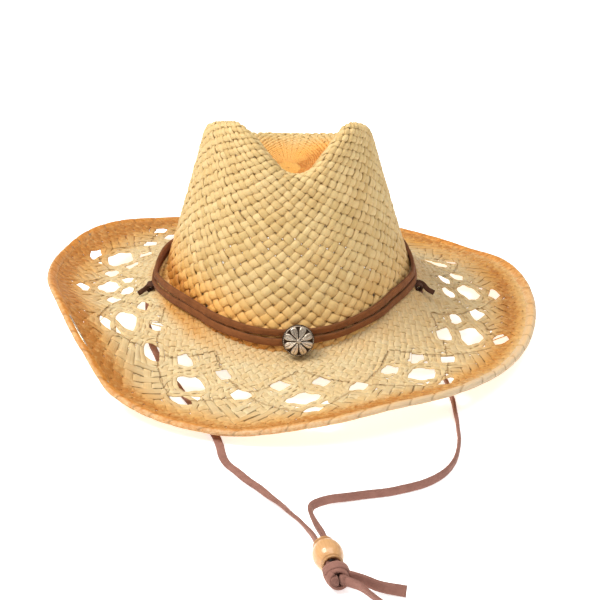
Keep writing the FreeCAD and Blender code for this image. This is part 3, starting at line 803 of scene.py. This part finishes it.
def brim_over(p, q):
    """Plain weave near the crown, long floats in the outer fields."""
    field = seam_side(p, q)
    long_a = np.where((p + 2 * q) % 4 < 2.5, 1.0, -1.0)
    long_b = np.where((2 * p + q) % 4 < 2.5, -1.0, 1.0)
    angle = (p + q) * 0.5 * BRIM_PITCH
    turn = np.radians((p - q) * 0.5 * BRIM_PITCH)
    f = BRIM.share_at(angle, turn) * 1.02 - 0.02
    phase, _ = motif_phase(angle)
    twill = np.where(phase < 0.5, long_a, long_b)
    return np.where((field == 3) & (f > 0.5), twill, plain(p, q))


def edge_distance(share):
    """Distance inwards from the brim's edge, in millimetres."""
    return (1 - share) * BRIM.length[-1]


def brim_stain(theta, share, point):
    """Mottled sprayed ring inside the edge. At the right it stands off from the edge."""
    angle = signed(theta)
    away = edge_distance(share)
    right = bump(angle, 80, 75)
    inner = 21.0 + 7.0 * bump(angle, -90, 70) + 7.0 * right + 3.0 * np.sin(np.radians(angle * 5))
    start = smooth(away, inner, inner - 15.0)
    edge = 1 - right * (1 - smooth(away, 6.0, 15.0)) * 0.9
    front = 1 - 0.25 * bump(angle, 25, 45) * (1 - smooth(away, 1.0, 5.0))
    inner = 0.45 * (1 - smooth(share, 0.05, 0.17)) * bump(angle, -66, 55)
    return np.clip(start * edge * front * 0.95 + inner, 0, 1)


def brim_glow(theta, share, point):
    angle = signed(theta)
    away = edge_distance(share)
    left = bump(angle, -95, 80)
    back = bump(angle, 180, 90)
    reach = 30.0 + 16.0 * left + 10.0 * bump(angle, 95, 70) + 12.0 * back
    ring = smooth(away, reach, reach * 0.35)
    right = bump(angle, 80, 75)
    margin = 1 - 0.75 * right * (1 - smooth(away, 2.0, 12.0))
    inner = (1 - smooth(share, 0.08, 0.20)) * (0.2 + 0.9 * bump(angle, -66, 60))
    warmth = 0.07 + 0.20 * right + 0.10 * back
    return np.clip(ring * margin * 0.85 + inner + warmth, 0, 1)


def brim_relief(theta, share):
    return 1.0 - 0.62 * smooth(share, 0.76, 0.90)


BRIM_TOP = 2 * BRIM.turn[-1] / math.radians(BRIM_PITCH)
brim_settings = {
    "top": BRIM_TOP, "over": brim_over, "sway": 0.030, "width": 1.0, "uneven": 0.03,
    "pinch": 0.0, "bulge": 0.42, "lift": 0.34, "tilt": 0.07, "thick": 0.50, "raise": -0.75, "edge_shade": 0.5,
    "stain": brim_stain, "glow": brim_glow, "relief": brim_relief,
    "warp": part_strands, "seams": brim_seams,
}
quarter = BRIM_STRANDS // 2
for family, letter in ((1, "a"), (-1, "b")):
    for part_number in (0, 1):
        numbers = range(part_number * quarter, part_number * quarter + quarter)
        verts, faces, layers = weave(BRIM, family, numbers, BRIM_STRANDS, 6, brim_settings)
        piece = add_mesh(f"brim_weave_{letter}{part_number + 1}", verts, faces, layers, BRIM_STRAW_WITH_PAINTED_LIGHT)
        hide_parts("brim")


# ---------------------------------------------------------------- rolled hem
def hem():
    """Straw wrapped over the edge wire: a roll with a slanted crease at each wrap."""
    rows = 1440
    columns = 14
    angle = np.linspace(0, 360, rows, endpoint=False)
    centre = brim_point(angle, 1.0)
    inside = brim_point(angle, 0.985)
    out = centre - inside
    out[:, 2] = 0
    out /= np.linalg.norm(out, axis=1, keepdims=True)
    run = np.radians(angle) * 175.0
    wraps = 66
    turn = np.linspace(0, 2 * np.pi, columns, endpoint=False)
    phase = (run[:, None] / (2 * np.pi * 175.0) * wraps + 0.16 * np.cos(turn)[None, :]
             + 0.30 * np.sin(run / 31.0)[:, None] + 0.17 * np.sin(run / 12.3)[:, None])
    cell = phase - np.floor(phase)
    crease = np.exp(-(np.minimum(cell, 1 - cell) / 0.035) ** 2)
    wobble = 0.14 * np.sin(run / 9.0)[:, None] * np.sin(turn)[None, :]
    radius = HEM_RADIUS * (0.98 + 0.06 * np.sin(cell * np.pi)) + wobble - 0.42 * crease
    side = radius * np.cos(turn)[None, :]
    up = radius * np.sin(turn)[None, :]
    verts = centre[:, None, :] + out[:, None, :] * side[..., None]
    verts[..., 2] += up
    inwards = inside - centre
    inwards /= np.linalg.norm(inwards, axis=1, keepdims=True)
    lip = 3.2 * smooth(-np.cos(turn), 0.45, 1.0)
    verts += inwards[:, None, :] * lip[None, :, None]
    shade = np.clip(crease * 0.9, 0, 1)
    number = np.floor(phase)
    tint = np.sin(number * 12.7) * 0.5 + 0.35
    right = bump(signed(angle), 50, 80)[:, None] + 0 * side
    upper = smooth(np.sin(turn), 0.1, 0.95)[None, :] * smooth(-np.cos(turn), -0.6, 0.4)[None, :]
    stain = (0.60 + 0.35 * upper) * (1 - right)
    glow = 0.06 + 0.45 * (1 - right) + 0.35 * (1 - right) * upper + 0.2 * upper
    grain = np.stack([run[:, None] + 0 * side, turn[None, :] * 2.0 + 0 * side, number * 1.7], -1)
    layers = {"tint": tint.ravel(), "shade": shade.ravel(), "grain": grain.reshape(-1, 3),
              "stain": stain.ravel(), "glow": glow.ravel(), "seams": np.full((verts.size // 3, 3), 9.0)}
    piece = add_mesh("hem_roll", verts.reshape(-1, 3), ring_faces(rows, columns, True), layers, HEM_STRAW)
    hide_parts("brim_hem")


hem()


# ---------------------------------------------------------------- sweatband and its seam
def crown_normal(angle, w):
    a = crown_point(angle + 0.5, w) - crown_point(angle - 0.5, w)
    b = crown_point(angle, w + 0.01) - crown_point(angle, w - 0.01)
    n = np.cross(a, b)
    return n / np.linalg.norm(n, axis=-1, keepdims=True)


def inner_point(angle, rise, depth):
    share = rise / (wave(RIDGE_WAVE, angle) - base_height(angle))
    return crown_point(angle, share) - crown_normal(angle, share) * (CROWN_THICKNESS + 0.5 + depth)[..., None]


def sweatband():
    """Cotton band inside the crown, with a folded lower edge and soft ripples."""
    rows = 540
    angle = np.linspace(0, 360, rows, endpoint=False)
    run = np.radians(angle) * 90
    section = [(1.5, 0.0), (8.0, -0.1), (15.0, -0.1), (22.0, 0.0), (29.5, 0.1), (30.0, 0.6),
               (29.2, 1.1), (22.0, 0.9), (15.0, 0.8), (8.5, 0.9), (7.0, 1.7), (2.0, 1.8), (1.1, 1.0)]
    ring = []
    for rise, depth in section:
        ripple = 0.25 * np.sin(run / 13.0) * np.sin(run / 37.0) * (depth > 0.3)
        ring.append(inner_point(angle, rise + 0.4 * np.sin(run / 21.0), depth + ripple))
    verts = np.stack(ring, 1)
    grain = np.stack([run[:, None] + 0 * verts[..., 0], verts[..., 2], 0 * verts[..., 0]], -1)
    shade = np.zeros(verts.shape[:2])
    layers = {"grain": grain.reshape(-1, 3), "shade": shade.ravel()}
    piece = add_mesh("sweatband_cloth", verts.reshape(-1, 3), ring_faces(rows, len(section), True)[::1],
                     layers, COTTON)
    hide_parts("sweatband")


def stitches():
    """Seventy-two stitches, each a twisted thread that dips into the cloth at both ends."""
    verts = []
    faces = []
    grain = []
    for number in range(72):
        start = len(verts)
        rows = 9
        for i in range(rows):
            s = i / (rows - 1)
            angle = np.array([-180 + number * 5.0 + 2.6 * s])
            dip = 1.15 * (2 * s - 1) ** 4
            place = inner_point(angle, np.array([5.0]), np.array([2.15 - dip]))[0]
            out = crown_normal(angle, np.array([0.05]))[0]
            for k in range(8):
                a = k * math.pi / 4 + s * 5
                r = 0.36 * (1 + 0.16 * math.cos(2 * (a - s * 5)))
                verts.append(place + out * r * math.cos(a) + np.array([0, 0, r * math.sin(a)]))
                grain.append((s * 4 + number, k * 0.4, 0))
        faces += ring_faces(rows, 8, False, True, start)
    layers = {"grain": np.array(grain), "shade": np.zeros(len(verts))}
    piece = add_mesh("sweatband_seam", verts, faces, layers, THREAD)
    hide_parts("sweatband_stitching")


sweatband()
stitches()


# ---------------------------------------------------------------- laces
def lace_section(width, thick, count=14):
    """Rounded flat section: across, up, and how near it is to the cut edge."""
    section = []
    for k in range(count):
        a = 2 * math.pi * k / count
        c, s = math.cos(a), math.sin(a)
        x = 0.5 * width * math.copysign(abs(c) ** 0.55, c)
        y = 0.5 * thick * math.copysign(abs(s) ** 0.70, s)
        section.append((x, y, smooth(abs(c), 0.80, 1.0)))
    return np.array(section)


def sweep(points, broad, section, closed=False):
    """Points of a section carried along a path. broad is the direction of its width at each point."""
    points = np.asarray(points, float)
    if closed:
        along = np.roll(points, -1, 0) - np.roll(points, 1, 0)
    else:
        along = np.gradient(points, axis=0)
    along /= np.linalg.norm(along, axis=1, keepdims=True)
    broad = np.asarray(broad, float)
    broad = broad - along * (broad * along).sum(1, keepdims=True)
    broad /= np.linalg.norm(broad, axis=1, keepdims=True)
    thin = np.cross(along, broad)
    return (points[:, None] + broad[:, None] * section[None, :, 0, None]
            + thin[:, None] * section[None, :, 1, None])


def band_strand(name, strand, node):
    """One suede lace of the band, hugging the crown and standing off at the concho and knots."""
    rows = 900
    angle = np.linspace(-180, 180, rows, endpoint=False)
    front = np.cos(np.radians(angle)) ** 2
    spacing = STRAND_SPACING + 3.8 * bump(angle, CONCHO_ANGLE, 8.0)
    drop = 2.5 * bump(angle, LEFT_KNOT_ANGLE, 26.0) + 1.2 * bump(angle, RIGHT_KNOT_ANGLE, 22.0)
    z = base_height(angle) + 5.0 + 6.0 * front - drop + (strand - 0.5) * spacing
    run = np.radians(angle) * 92
    z = z + 0.22 * np.sin(run / 17.0 + strand * 2) + 0.15 * np.sin(run / 7.3 + strand)
    share = (z - base_height(angle)) / (wave(RIDGE_WAVE, angle) - base_height(angle))
    place = crown_point(angle, share)
    out = np.stack([place[:, 0] / BASE_HALF_WIDTH ** 2, place[:, 1] / BASE_HALF_LENGTH ** 2, 0 * angle], 1)
    out /= np.linalg.norm(out, axis=1, keepdims=True)
    at_left = 8.6 * np.clip(1 - np.abs(signed(angle - LEFT_KNOT_ANGLE)) / 32.0, 0, 1)
    at_right = 3.4 * np.clip(1 - np.abs(signed(angle - RIGHT_KNOT_ANGLE)) / 20.0, 0, 1)
    stand = 2.4 * bump(angle, CONCHO_ANGLE, 8.0) + at_left + at_right
    place = place + out * (1.4 + stand + 0.12 * np.sin(run / 5.1 + strand))[:, None]
    lean = 0.25 * np.sin(run / 29.0 + strand * 1.3)
    broad = np.stack([out[:, 0] * lean, out[:, 1] * lean, 1 + 0 * angle], 1)
    section = lace_section(LACE_WIDTH, LACE_THICKNESS + 0.3)
    verts = sweep(place, broad, section, True)
    rough = RNG.normal(0, 0.035, verts.shape)
    shade = np.tile(section[:, 2], rows)
    piece = add_mesh(name, (verts + rough).reshape(-1, 3), ring_faces(rows, len(section), True),
                     {"shade": shade}, BAND_SUEDE)
    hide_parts(node)


band_strand("band_lace_lower", 0, "hat_band_lower_strand")
band_strand("band_lace_upper", 1, "hat_band_upper_strand")


def lace_path(points, steps):
    """Smooth path through a few points, as rows of a Catmull-Rom spline."""
    pts = np.asarray(points, float)
    pts = np.concatenate([pts[:1] * 2 - pts[1:2], pts, pts[-1:] * 2 - pts[-2:-1]])
    rows = []
    for i in range(1, len(pts) - 2):
        a, b, c, d = pts[i - 1], pts[i], pts[i + 1], pts[i + 2]
        for t in np.linspace(0, 1, steps, endpoint=False):
            rows.append(0.5 * (2 * b + (c - a) * t + (2 * a - 5 * b + 4 * c - d) * t * t
                               + (3 * b - a - 3 * c + d) * t ** 3))
    rows.append(pts[-2])
    return np.array(rows)


def closed_lace(points, broad, width, thick, start=0):
    """Vertices, faces and shade of a lace with both ends capped."""
    section = lace_section(width, thick)
    verts = sweep(points, broad, section)
    faces = ring_faces(len(points), len(section), False, True, start)
    shade = np.tile(section[:, 2], len(points))
    shade[:len(section)] = 1.0
    shade[-len(section):] = 1.0
    return verts.reshape(-1, 3), faces, shade


def band_knot(name, angle, node):
    """The lace tied round itself beside the band, with its cut end lying out over the brim."""
    f = 0.165 if angle < 0 else 0.09
    seat = brim_point(np.array([angle]), f)[0] + np.array([0, 0, 4.0])
    side = -1.0 if angle < 0 else 1.0
    verts = []
    faces = []
    shade = []
    turns = 2.3
    s = np.linspace(0, 1, 74)
    a = s * turns * 2 * math.pi + 0.6
    coil = np.stack([2.1 * np.cos(a) * (1 - 0.15 * s), (s - 0.5) * 4.6, 2.2 * np.sin(a)], 1)
    width = np.stack([0 * s, 1 + 0 * s, 0.25 + 0 * s], 1)
    v, fcs, sh = closed_lace(seat + coil, width, 3.0, 1.25)
    verts.append(v)
    faces += fcs
    shade.append(sh)
    count = len(v)
    head = np.array([[side * -3.0, 5.2, 2.2], [side * -1.0, 2.6, 1.4], [side * 1.2, -1.0, 1.0],
                     [side * 3.8, -4.2, -0.4], [side * 7.2, -6.4, -2.1]])
    if angle > 0:
        head = np.array([[-2.6, 2.0, 2.4], [0.4, 1.2, 2.6], [3.0, -0.2, 1.4],
                         [5.6, -2.6, -0.8], [9.6, -5.2, -2.2]])
    path = lace_path(seat + head, 9)
    v, fcs, sh = closed_lace(path, np.tile([0.3, 0.5, 1.0], (len(path), 1)), 3.4, 1.5, count)
    verts.append(v)
    faces += fcs
    shade.append(sh)
    allverts = np.concatenate(verts)
    allverts = allverts + RNG.normal(0, 0.03, allverts.shape)
    piece = add_mesh(name, allverts, faces, {"shade": np.concatenate(shade)}, DARK_SUEDE)
    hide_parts(node)


band_knot("band_knot_left", LEFT_KNOT_ANGLE, "left_band_knot")
band_knot("band_knot_right", RIGHT_KNOT_ANGLE, "right_band_knot")


# ---------------------------------------------------------------- concho
def concho():
    """Domed cast disc: eight raised leaves with a vein each, a centre boss and a beaded rim."""
    z_mid = base_height(CONCHO_ANGLE) + 5.0 + 6.0 * math.cos(math.radians(CONCHO_ANGLE)) ** 2 - 1.1
    share = (z_mid - base_height(CONCHO_ANGLE)) / (wave(RIDGE_WAVE, CONCHO_ANGLE) - base_height(CONCHO_ANGLE))
    centre = crown_point(CONCHO_ANGLE, share)
    axis = Vector(crown_normal(CONCHO_ANGLE, share))
    rings = 54
    columns = 192
    t = np.linspace(0, 1, rings + 1)[:, None]
    a = np.linspace(0, 2 * np.pi, columns, endpoint=False)[None, :]
    r = CONCHO_RADIUS * t + 0 * a
    dome = 1.6 + 2.7 * np.sqrt(np.clip(1 - (t * 0.97) ** 2, 0, 1)) + 0 * a
    sector = (a / (2 * np.pi) * 8) % 1 - 0.5
    half = 0.49 * np.sin(np.pi * np.clip((t - 0.06) / 0.90, 0, 1)) ** 0.38
    inside = np.abs(sector) / np.maximum(half, 1e-3)
    leaf = np.where((t > 0.16) & (t < 0.9), smooth(1 - inside, 0.0, 0.30), 0)
    vein = np.exp(-(sector / 0.022) ** 2) * (t > 0.2) * (t < 0.84)
    boss = smooth(0.19 - t, 0.0, 0.08) + 0 * a
    groove = np.exp(-((t - 0.2) / 0.02) ** 2) + 0 * a
    rim = np.exp(-((t - 0.94) / 0.035) ** 2) * (0.75 + 0.25 * np.cos(a * 48))
    height = dome + 0.85 * leaf - 0.45 * vein * leaf + 1.1 * boss - 0.2 * groove + 0.55 * rim
    shade = np.clip(1 - leaf * (1 - vein * 0.8) - boss - rim * 0.9, 0, 1)
    x = r * np.cos(a)
    y = r * np.sin(a)
    verts = np.stack([x, y, height], -1).reshape(-1, 3)
    faces = []
    for i in range(rings):
        for k in range(columns):
            n = (k + 1) % columns
            faces.append((i * columns + k, (i + 1) * columns + k, (i + 1) * columns + n, i * columns + n))
    skirt = len(verts)
    back = []
    for radius, z in ((CONCHO_RADIUS + 0.15, 1.1), (CONCHO_RADIUS - 0.3, 0.25), (CONCHO_RADIUS - 1.6, 0.0),
                      (CONCHO_RADIUS * 0.5, 0.0), (0.2, 0.0)):
        for k in range(columns):
            angle = 2 * math.pi * k / columns
            back.append((radius * math.cos(angle), radius * math.sin(angle), z))
    rows = 5
    for i in range(rows):
        a0 = rings * columns if i == 0 else skirt + (i - 1) * columns
        a1 = skirt + i * columns
        for k in range(columns):
            n = (k + 1) % columns
            faces.append((a0 + k, a1 + k, a1 + n, a0 + n))
    verts = np.concatenate([verts, np.array(back)])
    shade = np.concatenate([shade.ravel(), np.full(len(back), 0.45)])
    turn = axis.to_track_quat("Z", "Y").to_matrix()
    placed = verts + np.array([0, 0, 5.6])
    placed = placed @ np.array(turn).T + centre
    piece = add_mesh("concho_face", placed, faces, {"shade": shade}, SILVER, "concho")
    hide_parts("concho_cap")


concho()
for name in ("concho_post", "concho_nut", "brim_wire"):
    node = bpy.data.objects[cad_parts[name].name] if hasattr(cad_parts[name], "name") else None
    if node is not None:
        node.data.materials.clear()
        node.data.materials.append(SILVER)

# ---------------------------------------------------------------- chin cord
# control points of each cord in metres, from its side knot down through the brim to the end knot
LEFT_CORD = (
    (-0.0936, -0.0294, 0.0335), (-0.0938, -0.0303, 0.0190), (-0.0936, -0.0405, 0.0070),
    (-0.0886, -0.0570, 0.0020), (-0.0785, -0.0880, 0.0015), (-0.0655, -0.1190, 0.0015),
    (-0.0520, -0.1500, 0.0015), (-0.0410, -0.1780, 0.0015), (-0.0390, -0.2000, 0.0015),
    (-0.0270, -0.2185, 0.0015), (-0.0125, -0.2390, 0.0020), (-0.0015, -0.2575, 0.0034),
    (0.0100, -0.2822, 0.0066), (0.0144, -0.2965, 0.0082), (0.0205, -0.3225, 0.0082),
)
RIGHT_CORD = (
    (0.0875, -0.0279, 0.0332), (0.0876, -0.0288, 0.0190), (0.0885, -0.0395, 0.0080),
    (0.0930, -0.0575, 0.0036), (0.0995, -0.0890, 0.0028), (0.1025, -0.1230, 0.0028),
    (0.1028, -0.1550, 0.0028), (0.1015, -0.1870, 0.0028), (0.0940, -0.2130, 0.0028),
    (0.0790, -0.2295, 0.0028), (0.0570, -0.2390, 0.0028), (0.0360, -0.2435, 0.0030),
    (0.0190, -0.2490, 0.0036), (0.0103, -0.2585, 0.0046), (0.0156, -0.2808, 0.0066),
    (0.0194, -0.2953, 0.0082), (0.0256, -0.3213, 0.0082),
)
SHORT_TAIL = (
    (0.0286, -0.3332, 0.0067), (0.0356, -0.3367, 0.0067), (0.0430, -0.3435, 0.0042),
    (0.0510, -0.3515, 0.0029),
)
LONG_TAIL = (
    (0.0309, -0.3286, 0.0067), (0.0381, -0.3322, 0.0067), (0.0480, -0.3358, 0.0042),
    (0.0600, -0.3376, 0.0032),
)


def spline_points(route, resolution=14):
    """Points along the smooth line that the control points give."""
    curve = bpy.data.curves.new("route", "CURVE")
    curve.dimensions = "3D"
    curve.resolution_u = resolution
    spline = curve.splines.new("NURBS")
    spline.points.add(len(route) - 1)
    for point, place in zip(spline.points, route):
        point.co = (*place, 1.0)
    spline.order_u = 3
    spline.use_endpoint_u = True
    holder = bpy.data.objects.new("route", curve)
    bpy.context.scene.collection.objects.link(holder)
    bpy.context.view_layer.update()
    mesh = bpy.data.meshes.new_from_object(holder)
    points = np.array([v.co for v in mesh.vertices])
    bpy.data.objects.remove(holder)
    bpy.data.meshes.remove(mesh)
    bpy.data.curves.remove(curve)
    return points


def cord_lace(name, route, node, turns, width=5.2, thick=2.3):
    """Flat suede lace that lies flat or stands on its edge as turns says along its length."""
    line = spline_points(route) / MM
    step = np.linalg.norm(np.diff(line, axis=0), axis=1)
    run = np.concatenate([[0], np.cumsum(step)])
    along = np.gradient(line, axis=0)
    along /= np.linalg.norm(along, axis=1, keepdims=True)
    up = np.tile([0.0, 0.0, 1.0], (len(line), 1))
    steep = np.abs(along[:, 2])[:, None]
    up = up * (1 - smooth(steep, 0.6, 0.95)) + np.array([1.0, 0.0, 0.0]) * smooth(steep, 0.6, 0.95)
    across = np.cross(along, up)
    across /= np.linalg.norm(across, axis=1, keepdims=True)
    up = np.cross(across, along)
    angle = np.interp(run / run[-1], [s for s, _ in turns], [a for _, a in turns])
    angle = angle + 5.0 * np.sin(run / 11.0)
    c = np.cos(np.radians(angle))[:, None]
    s = np.sin(np.radians(angle))[:, None]
    broad = up * c + across * s
    section = lace_section(width, thick)
    verts = sweep(line, broad, section)
    ripple = 0.10 * np.sin(run / 3.7)[:, None, None] * np.array([1.0, 1.0, 0.4])
    rough = ripple + RNG.normal(0, 0.03, verts.shape)
    shade = np.tile(section[:, 2], len(line))
    faces = ring_faces(len(line), len(section), False, True)
    piece = add_mesh(name, (verts + rough).reshape(-1, 3), faces, {"shade": shade}, CORD_SUEDE)
    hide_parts(node)
    return piece, line, float(run[-1])


# how each lace turns: (share of its length, degrees from standing on edge to lying flat)
LEFT_TURNS = ((0, 0), (0.12, 66), (0.25, 84), (0.72, 84), (0.86, 30), (0.93, 0), (1, 0))
RIGHT_TURNS = ((0, 10), (0.1, 14), (0.3, 4), (0.6, 0), (0.84, 16), (0.93, 0), (1, 0))
left_cord, left_line, left_length = cord_lace(
    "chin_lace_left", LEFT_CORD, "chin_cord_left", LEFT_TURNS)
right_cord, right_line, right_length = cord_lace(
    "chin_lace_right", RIGHT_CORD, "chin_cord_right", RIGHT_TURNS)
short_tail, _, _ = cord_lace("lace_tail_short", SHORT_TAIL, "cord_tail_short", ((0, 0), (1, 35)), 6.0, 2.2)
long_tail, _, _ = cord_lace("lace_tail_long", LONG_TAIL, "cord_tail_long", ((0, 0), (1, -20)), 6.4, 2.2)


def bead():
    """Turned oval bead: polished outside, slightly flared bore."""
    rows = []
    half = BEAD_LENGTH / 2
    for z in np.linspace(-1, 1, 41):
        rows.append((BEAD_RADIUS * math.sqrt(1 - (z / 1.06) ** 2), z * half, 0.0))
    bore = BEAD_BORE_RADIUS
    rows[0] = (max(rows[0][0], bore + 0.25), -half, 0.1)
    rows[-1] = (max(rows[-1][0], bore + 0.25), half, 0.1)
    inner = [(bore + 0.1, half - 0.2, 0.5), (bore, half - 0.9, 0.9),
             (bore, 0.0, 1.0), (bore, -half + 0.9, 0.9),
             (bore + 0.1, -half + 0.2, 0.5)]
    rows = rows + inner
    columns = 72
    turn = Vector(BEAD_AIM).to_track_quat("Z", "Y").to_matrix()
    verts = []
    shade = []
    grain = []
    for radius, z, dark in rows:
        for k in range(columns):
            a = 2 * math.pi * k / columns
            ripple = 1 + 0.006 * math.sin(z * 2.4) * math.cos(a * 3)
            verts.append((radius * ripple * math.cos(a), radius * ripple * math.sin(a), z))
            shade.append(dark)
            grain.append((z, radius * math.cos(a), radius * math.sin(a)))
    placed = np.array(verts) @ np.array(turn).T + np.array(BEAD_CENTRE)
    faces = ring_faces(len(rows), columns, True)
    layers = {"shade": shade, "grain": np.array(grain)}
    piece = add_mesh("bead_wood_turned", placed, faces, layers, WOOD, "bead")
    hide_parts("slider_bead")
    return piece


def end_knot():
    """Overhand knot of the two laces: a wrap round the pair, crossed by the tucked end."""
    aim = np.array(BEAD_AIM) / np.linalg.norm(BEAD_AIM)
    across = np.array([aim[1], -aim[0], 0.0])
    up = np.array([0.0, 0.0, 1.0])
    centre = np.array(BEAD_CENTRE) - aim * 17.25 - np.array([0, 0, 1.0])
    verts = []
    faces = []
    shade = []
    count = 0
    loops = (
        (0.0, 1.15, 3.1, 5.3, 4.6, 6.6, -0.35),
        (2.2, 1.10, -2.7, 5.1, 4.4, 6.4, 0.45),
        (4.1, 0.80, 0.3, 6.2, 5.3, 6.0, 0.10),
    )
    for phase, turns, middle, wide, tall, width, slant in loops:
        s = np.linspace(0, 1, 46)
        a = phase + s * turns * 2 * math.pi
        along = middle + slant * 4.0 * np.sin(a) + 1.2 * (s - 0.5)
        place = (centre + aim * along[:, None] + across * (wide * np.cos(a))[:, None]
                 + up * (tall * np.sin(a))[:, None])
        broad = aim + 0.45 * slant * (across * np.cos(a)[:, None] + up * np.sin(a)[:, None])
        v, fcs, sh = closed_lace(place, broad, width, 2.2, count)
        verts.append(v)
        faces += fcs
        shade.append(sh)
        count += len(v)
    core = np.linspace(-7.0, 7.0, 20)
    for side in (-1, 1):
        place = centre + aim * core[:, None] + across * (side * 2.4 + 0 * core)[:, None]
        v, fcs, sh = closed_lace(place, np.tile(up, (20, 1)), 5.0, 4.2, count)
        verts.append(v)
        faces += fcs
        shade.append(sh)
        count += len(v)
    allverts = np.concatenate(verts)
    allverts = allverts + RNG.normal(0, 0.04, allverts.shape)
    allverts[:, 2] = np.maximum(allverts[:, 2], 0.35)
    piece = add_mesh("lace_end_knot", allverts, faces, {"shade": np.concatenate(shade)}, CORD_SUEDE)
    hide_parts("end_knot")
    return piece


bead_piece = bead()
knot_piece = end_knot()


# ---------------------------------------------------------------- floor, light and camera
def floor():
    mesh = bpy.data.meshes.new("floor")
    reach = 6.0
    mesh.from_pydata([(-reach, -reach, 0), (reach, -reach, 0), (reach, reach, 0), (-reach, reach, 0)],
                     [], [(0, 1, 2, 3)])
    plane = bpy.data.objects.new("floor", mesh)
    bpy.context.scene.collection.objects.link(plane)
    material, tree, shader = node_material("studio_paper")
    speck = noise_node(tree, 3.0, 2.0, 0.5)
    colour = mix_colour(tree, speck, (0.93, 0.93, 0.93), (0.95, 0.95, 0.95))
    tree.links.new(colour, shader.inputs["Base Color"])
    shader.inputs["Roughness"].default_value = 0.9
    shader.inputs["Specular IOR Level"].default_value = 0.1
    shader.inputs["Emission Color"].default_value = (1.0, 1.0, 1.0, 1.0)
    # the paper glows and lights the hat from below, except in an oval whose middle is 19 mm behind the
    # origin, which stays dark as painted shade under the crown, so the gaps in the weave look dark
    place = add_node(tree, "ShaderNodeTexCoord").outputs["Object"]
    oval = add_node(tree, "ShaderNodeVectorMath")
    oval.operation = "MULTIPLY_ADD"
    oval.inputs[1].default_value = (1 / 0.080, 1 / 0.085, 0.0)
    oval.inputs[2].default_value = (0.0, -0.22, 0.0)
    tree.links.new(place, oval.inputs[0])
    far = add_node(tree, "ShaderNodeVectorMath")
    far.operation = "LENGTH"
    tree.links.new(oval.outputs[0], far.inputs[0])
    glow = ramp(tree, far.outputs["Value"], 0.78, 0.96, 0.02, 0.62)
    tree.links.new(glow, shader.inputs["Emission Strength"])
    mesh.materials.append(material)


def area_light(name, place, target, size, power, colour=(1, 1, 1)):
    data = bpy.data.lights.new(name, "AREA")
    data.shape = "DISK"
    data.size = size
    data.energy = power
    data.color = colour
    light = bpy.data.objects.new(name, data)
    light.location = place
    light.rotation_euler = (Vector(target) - Vector(place)).to_track_quat("-Z", "Y").to_euler()
    bpy.context.scene.collection.objects.link(light)


floor()
area_light("key", (-1.25, -0.36, 2.1), (0, 0, 0.06), 1.2, 52.0, (1.0, 0.985, 0.95))
area_light("fill", (0.45, -0.45, 2.5), (0, 0, 0.06), 1.7, 24.0)
world = bpy.data.worlds.new("studio")
world.use_nodes = True
world.node_tree.nodes["Background"].inputs["Color"].default_value = (1.0, 1.0, 1.0, 1.0)
world.node_tree.nodes["Background"].inputs["Strength"].default_value = 0.40
bpy.context.scene.world = world
bpy.context.scene.view_settings.view_transform = "Standard"
bpy.context.scene.view_settings.look = "None"

camera_data = bpy.data.cameras.new("camera")
camera_data.lens = 99.28
camera_data.sensor_width = 36.0
camera_data.shift_x = 0.0192
camera_data.shift_y = 0.0367
camera = bpy.data.objects.new("camera", camera_data)
camera_distance = 1.150
camera_tilt = math.radians(25.0)
camera.location = (0.0, -camera_distance * math.cos(camera_tilt),
                   camera_distance * math.sin(camera_tilt) - 0.003)
camera.rotation_euler = (math.radians(90) - camera_tilt, 0.0, 0.0)
bpy.context.scene.collection.objects.link(camera)
bpy.context.scene.camera = camera
